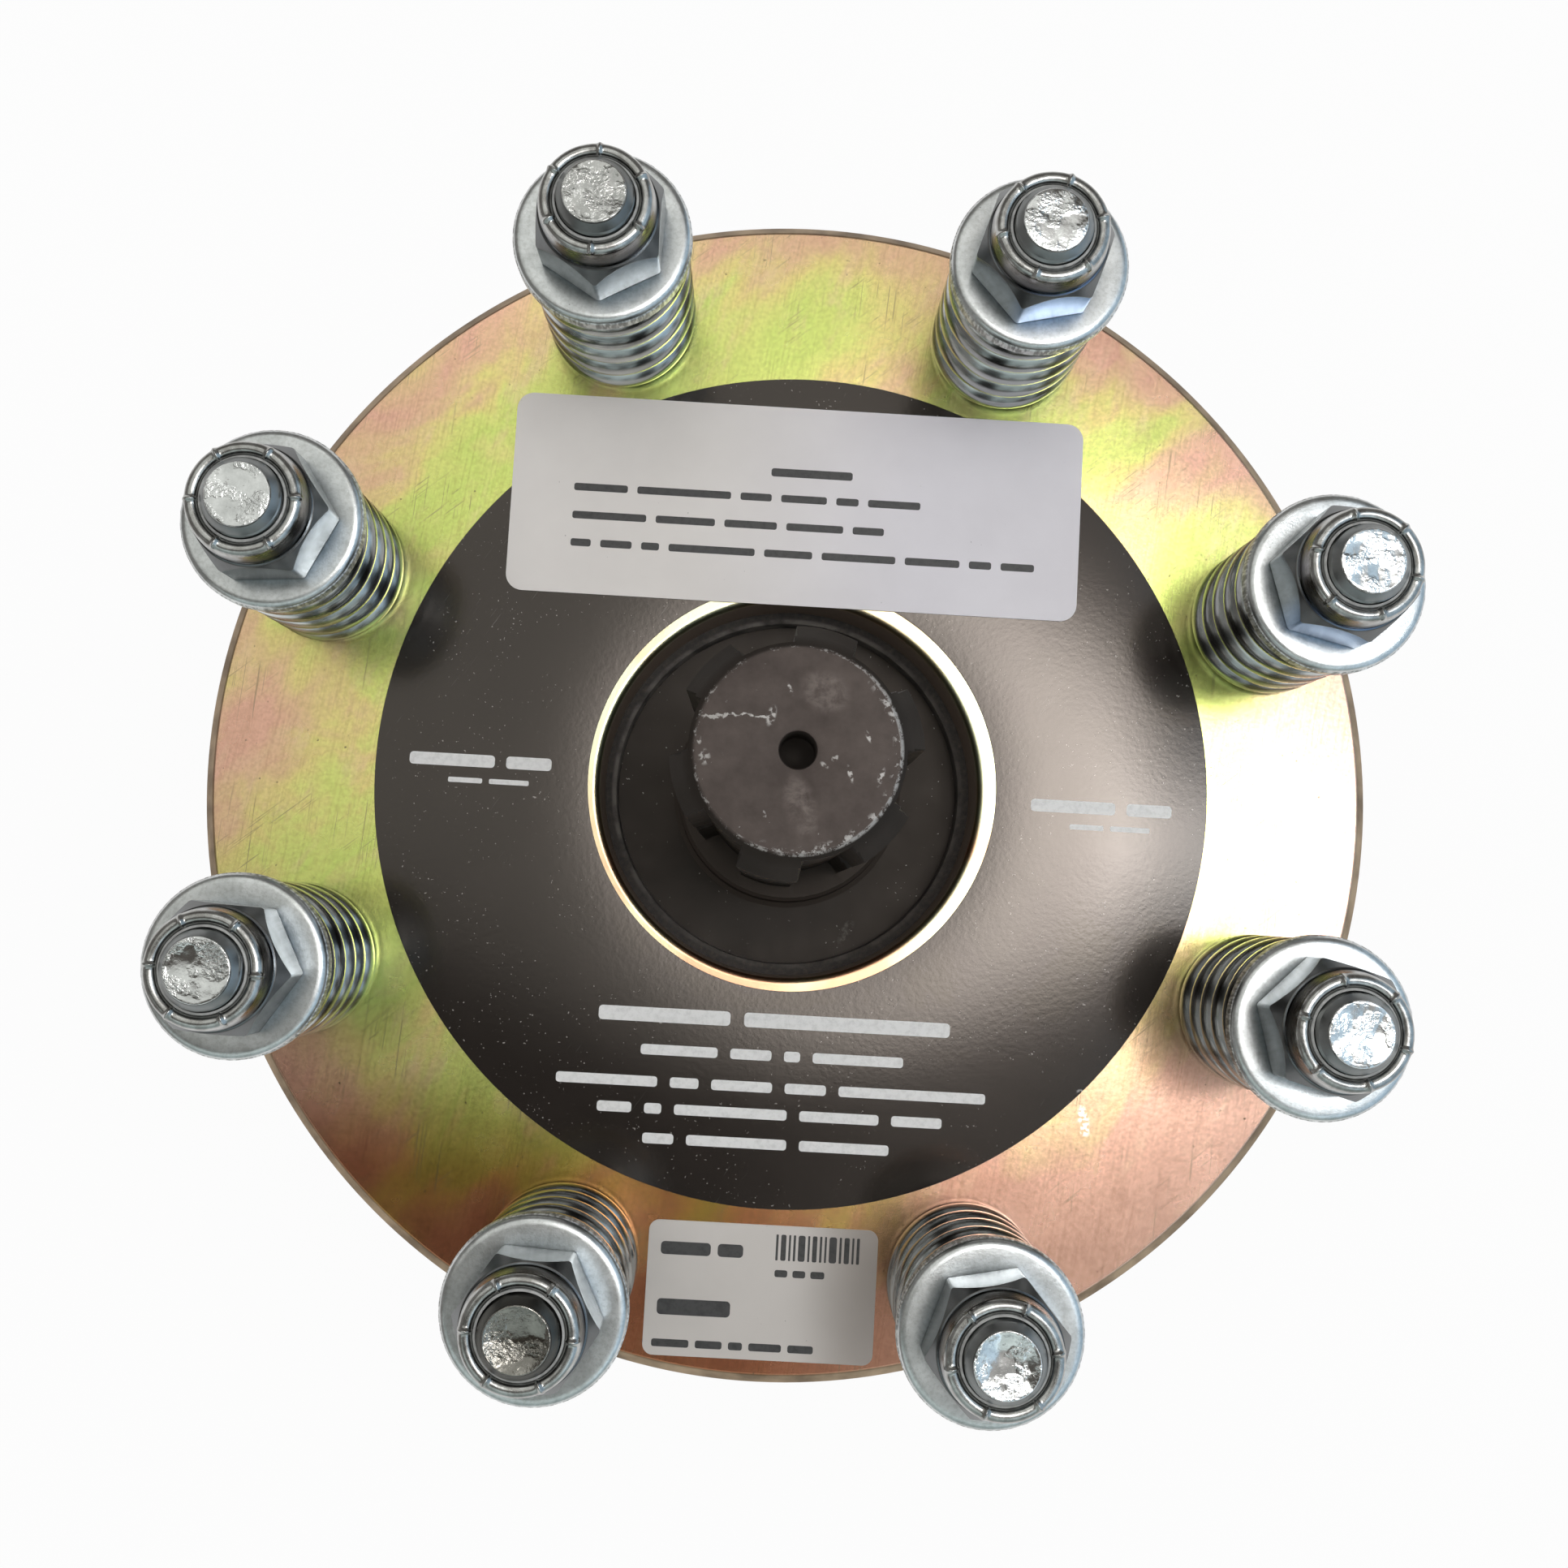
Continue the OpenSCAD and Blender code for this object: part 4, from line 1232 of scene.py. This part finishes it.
def dress_all():
    paint = black_paint()
    lining = friction_lining()
    bolt_zinc, washer_zinc, nut_zinc, wire_zinc = zinc_bolt(), zinc_washer(), zinc_nut(), zinc_spring()
    plastic = nylon()
    dress(pressure_plate(), yellow_zinc(), "housing", "yellow_zinc", "pressure_plate")
    dress(flange_hub(), paint, "housing", "black_paint", "flange_hub")
    front = plain_ring("front_lining", DISC_HOLE_R, DISC_R, DRIVE_TOP + 0.05, PLATE_BOTTOM, 0.25)
    dress(front, lining, "housing", "friction_lining", "front_friction_disc")
    rear = plain_ring("rear_lining", DISC_HOLE_R, DISC_R, FLANGE_TOP, DRIVE_BOTTOM - 0.05, 0.25)
    dress(rear, lining, "housing", "friction_lining", "rear_friction_disc")
    drive = plain_ring("drive_disc", SHANK_R, DRIVE_R, DRIVE_BOTTOM, DRIVE_TOP, 0.3)
    dress(drive, paint, "rotor", "black_paint", "drive_plate")
    dress(output_shaft(), worn_black(), "rotor", "worn_black", "output_shaft")
    decal = plain_ring("decal_film", DECAL_HOLE_R, DECAL_R, PLATE_TOP, PLATE_TOP + FILM_T, 0.05, 256, DECAL_SHIFT)
    dress(decal, black_film(), "housing", "black_film", "ring_decal")
    # Painted light: the wide label turns cooler toward its right, under the blue light from that side.
    grey = label_film("grey_label", (0.82, 0.78, 0.745), (0.75, 0.71, 0.68), -25, 25, (1.0, 1.02, 1.13))
    dress(label("wide_film", WIDE_LABEL, PLATE_TOP + FILM_T), grey, "housing", "grey_label", "wide_label")
    # Painted shade: the small label, white paper, is toned to a warm grey and darkens toward its right.
    white = label_film("white_label", (0.72, 0.675, 0.635), (0.65, 0.61, 0.57), 4, 18, (0.62, 0.59, 0.57))
    dress(label("small_film", SMALL_LABEL, PLATE_TOP), white, "housing", "white_label", "small_label")
    dress_print()
    dress(cotter_bolt(), bolt_zinc, "housing", "zinc_steel", "cotter_bolt")
    dress(cotter_washer(), washer_zinc, "housing", "zinc_steel", "cotter_washer")
    dress(cotter_nut(), washer_zinc, "housing", "zinc_steel", "cotter_nut")
    for part in frame["nodes"]["pilot_bush"].material_slots:
        part.material = bronze()
    for n in range(1, BOLT_COUNT + 1):
        dress(spring_bolt(n), bolt_zinc, "housing", "zinc_steel", f"spring_bolt_{n}")
        dress(spring_washer(n), washer_zinc, f"washer_{n}", "zinc_steel", f"spring_washer_{n}")
        dress(lock_nut(n), nut_zinc, f"nut_{n}", "zinc_nut", f"lock_nut_{n}")
        dress(nylon_insert(n), plastic, f"nut_{n}", "nylon", f"nylon_insert_{n}")
        dress_spring(n, wire_zinc)


def dress_print():
    """Bars and stripes that stand for the lines of print on the films."""
    light = ink("light_ink", (0.86, 0.86, 0.85), (0.70, 0.70, 0.69))
    dark = ink("dark_ink", (0.045, 0.043, 0.042), (0.02, 0.019, 0.019))
    decal_top = PLATE_TOP + FILM_T
    dress(bars("decal_bars", DECAL_LINES, decal_top), light, "housing", "white_label")
    dress(bars("wide_bars", WIDE_LINES, decal_top + FILM_T), dark, "housing", "black_film")
    dress(bars("small_bars", SMALL_LINES, decal_top), dark, "housing", "black_film")


def dress_spring(n, material):
    """A spring standing on the plate, up to the washer on top of it."""
    coil = spring(n)
    coil.data.materials.append(material)
    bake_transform(coil)
    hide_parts(f"spring_{n}")


# Stage

PHOTO_WIDTH_PX = 1932
FOCAL_PX = 1860
CAMERA_PLACE = (-3.92, -20.32, PLATE_TOP + 266.19)
CAMERA_TARGET = (-0.85, 0.6, PLATE_TOP)
CAMERA_ROLL = math.radians(3.18)
SENSOR_MM = 36.0


def camera():
    lens = bpy.data.cameras.new("camera")
    lens.sensor_width = SENSOR_MM
    lens.lens = SENSOR_MM * FOCAL_PX / PHOTO_WIDTH_PX
    lens.clip_start = 0.01
    obj = bpy.data.objects.new("camera", lens)
    bpy.context.scene.collection.objects.link(obj)
    place = Vector(CAMERA_PLACE) * MM
    back = (place - Vector(CAMERA_TARGET) * MM).normalized()
    right = Vector((-math.sin(CAMERA_ROLL), math.cos(CAMERA_ROLL), 0)).cross(back).normalized()
    up = back.cross(right)
    turn = Matrix((right, up, back)).transposed().to_4x4()
    obj.matrix_world = Matrix.Translation(place) @ turn
    bpy.context.scene.camera = obj


def sheet_object(name, width, length, centre, facing):
    """Flat rectangle for the stage, in metres, facing along a direction."""
    corners = [(x * width / 2, y * length / 2, 0) for x, y in ((-1, -1), (1, -1), (1, 1), (-1, 1))]
    mesh = bpy.data.meshes.new(name)
    mesh.from_pydata(corners, [], [(0, 1, 2, 3)])
    obj = bpy.data.objects.new(name, mesh)
    obj.location = centre
    obj.rotation_euler = Vector(facing).to_track_quat("Z", "Y").to_euler()
    bpy.context.scene.collection.objects.link(obj)
    return obj


def seen_share(tree):
    """One for rays that show the background: from the camera, off gloss or through glass."""
    path = tree.nodes.new("ShaderNodeLightPath")
    share = path.outputs["Is Camera Ray"]
    for name in ("Is Glossy Ray", "Is Transmission Ray"):
        most = tree.nodes.new("ShaderNodeMath")
        most.operation = "MAXIMUM"
        tree.links.new(share, most.inputs[0])
        tree.links.new(path.outputs[name], most.inputs[1])
        share = most.outputs[0]
    return share


def floor():
    """Pale floor that shows white and keeps a soft shadow."""
    obj = sheet_object("floor", 8, 8, (0, 0, 0), (0, 0, 1))
    s = Shader("floor", Base_Color=grey(0.85), Roughness=0.9)
    share = s.both(seen_share(s.tree), 0.95)
    blend = s.node("MixShader", {0: share, 1: s.surface.outputs[0], 2: s.node("Emission").outputs[0]})
    s.show(blend)
    obj.data.materials.append(s.material)


def world():
    """White where it is seen, softer where it lights."""
    made = bpy.data.worlds.new("world")
    bpy.context.scene.world = made
    made.use_nodes = True
    tree = made.node_tree
    background = tree.nodes["Background"]
    background.inputs["Color"].default_value = (1, 1, 1, 1)
    level = tree.nodes.new("ShaderNodeMapRange")
    level.inputs["To Min"].default_value = 0.34
    level.inputs["To Max"].default_value = 1.0
    tree.links.new(seen_share(tree), level.inputs["Value"])
    tree.links.new(level.outputs[0], background.inputs["Strength"])


CEILING_H = 1.5
# Light and dark areas overhead: x and y limits and edge softness as slopes from the part, colour, strength
CEILING_PANELS = [
    ((-0.95, 0.10), (-0.09, 0.95), 0.10, (0.97, 1.0, 0.97), 0.76),
    ((0.06, 0.42), (-0.05, 0.75), 0.10, (1.0, 0.99, 0.97), 0.62),
    ((0.06, 0.42), (-0.50, -0.05), 0.10, (1.0, 0.99, 0.97), 0.40),
    ((0.055, 0.35), (-0.045, 0.22), 0.09, (1.0, 0.98, 0.97), 8.6),
    ((0.27, 0.60), (-0.02, 0.10), 0.04, (0.96, 0.98, 1.0), 9.0),
    ((-0.33, -0.19), (0.53, 0.67), 0.03, (1.0, 1.0, 1.0), 2.0),
    ((0.45, 1.60), (-1.40, 0.60), 0.12, (0.62, 0.82, 1.0), 0.95),
    ((-1.60, 0.60), (-1.60, -0.55), 0.10, (0.86, 1.0, 1.0), 0.75),
]
CEILING_BASE = ((1.0, 0.90, 0.80), 0.09)


def emission_material(name):
    """Shader builder with a plain emission surface, and that emission node."""
    s = Shader(name)
    glow = s.node("Emission")
    s.show(glow)
    s.tree.nodes.remove(s.surface)
    return s, glow


def only_in_gloss(obj):
    obj.visible_camera = False
    obj.visible_diffuse = False
    obj.visible_shadow = False


def ceiling(height):
    """Overhead sheet with soft light and dark areas, seen only in reflections."""
    obj = sheet_object("ceiling", 7, 7, (0, 0, height), (0, 0, 1))
    obj.rotation_euler = (0, 0, 0)
    s, glow = emission_material("ceiling")
    place = s.node("TexCoord").outputs["Object"]
    slope = s.vector("SCALE", place, Scale=1 / CEILING_H)
    x, y = s.axis(slope, "X"), s.axis(slope, "Y")
    colour, strength = CEILING_BASE
    total = tuple(strength * c for c in colour)
    for (x0, x1), (y0, y1), soft, colour, strength in CEILING_PANELS:
        inside = s.both(
            s.both(s.mask(x, x0 - soft, x0 + soft), s.mask(x, x1 + soft, x1 - soft)),
            s.both(s.mask(y, y0 - soft, y0 + soft), s.mask(y, y1 + soft, y1 - soft)),
        )
        total = s.vector("ADD", total, s.vector("SCALE", tuple(strength * c for c in colour), Scale=inside))
    s.feed(glow.inputs["Color"], total)
    obj.data.materials.append(s.material)
    only_in_gloss(obj)


def card(name, width, length, centre, facing, colour, strength):
    """Studio card that shows only in reflections."""
    obj = sheet_object(name, width, length, centre, facing)
    s, glow = emission_material(name)
    s.feed(glow.inputs["Color"], colour)
    glow.inputs["Strength"].default_value = strength
    obj.data.materials.append(s.material)
    only_in_gloss(obj)


def lamp(name, width, length, centre, target, colour, radiance):
    """Soft rectangular lamp of a given brightness, left out of reflections."""
    light = bpy.data.lights.new(name, "AREA")
    light.shape = "RECTANGLE"
    light.size = width
    light.size_y = length
    light.color = colour
    light.energy = radiance * math.pi * width * length
    obj = bpy.data.objects.new(name, light)
    obj.location = centre
    obj.rotation_euler = (Vector(centre) - Vector(target)).to_track_quat("Z", "Y").to_euler()
    obj.visible_glossy = False
    bpy.context.scene.collection.objects.link(obj)


def stage():
    above = PLATE_TOP * MM
    middle = (0, 0, above)
    floor()
    world()
    camera()
    ceiling(above + CEILING_H)
    warm, cool, blue = (1.0, 0.97, 0.93), (0.86, 1.0, 1.0), (0.62, 0.82, 1.0)
    for side, direction, colour, strength in (
        ("left", (-1, 0), warm, 0.25),
        ("front", (0, -1), cool, 0.5),
        ("back", (0, 1), warm, 0.2),
        ("right", (1, 0), blue, 0.8),
    ):
        x, y = (1.9 * share for share in direction)
        card(f"{side}_card", 3.8, 2.0, (x, y, above + 0.5), (-x, -y, 0), colour, strength)
    lamp("sky_lamp", 1.8, 1.8, (-0.15, 0.25, above + 1.35), middle, (1.0, 0.99, 0.97), 0.75)
    lamp("window_lamp", 0.9, 0.9, (0.75, 0.15, above + 1.0), middle, (0.95, 0.98, 1.0), 1.1)


dress_all()
stage()
bpy.context.scene.view_settings.view_transform = "Standard"
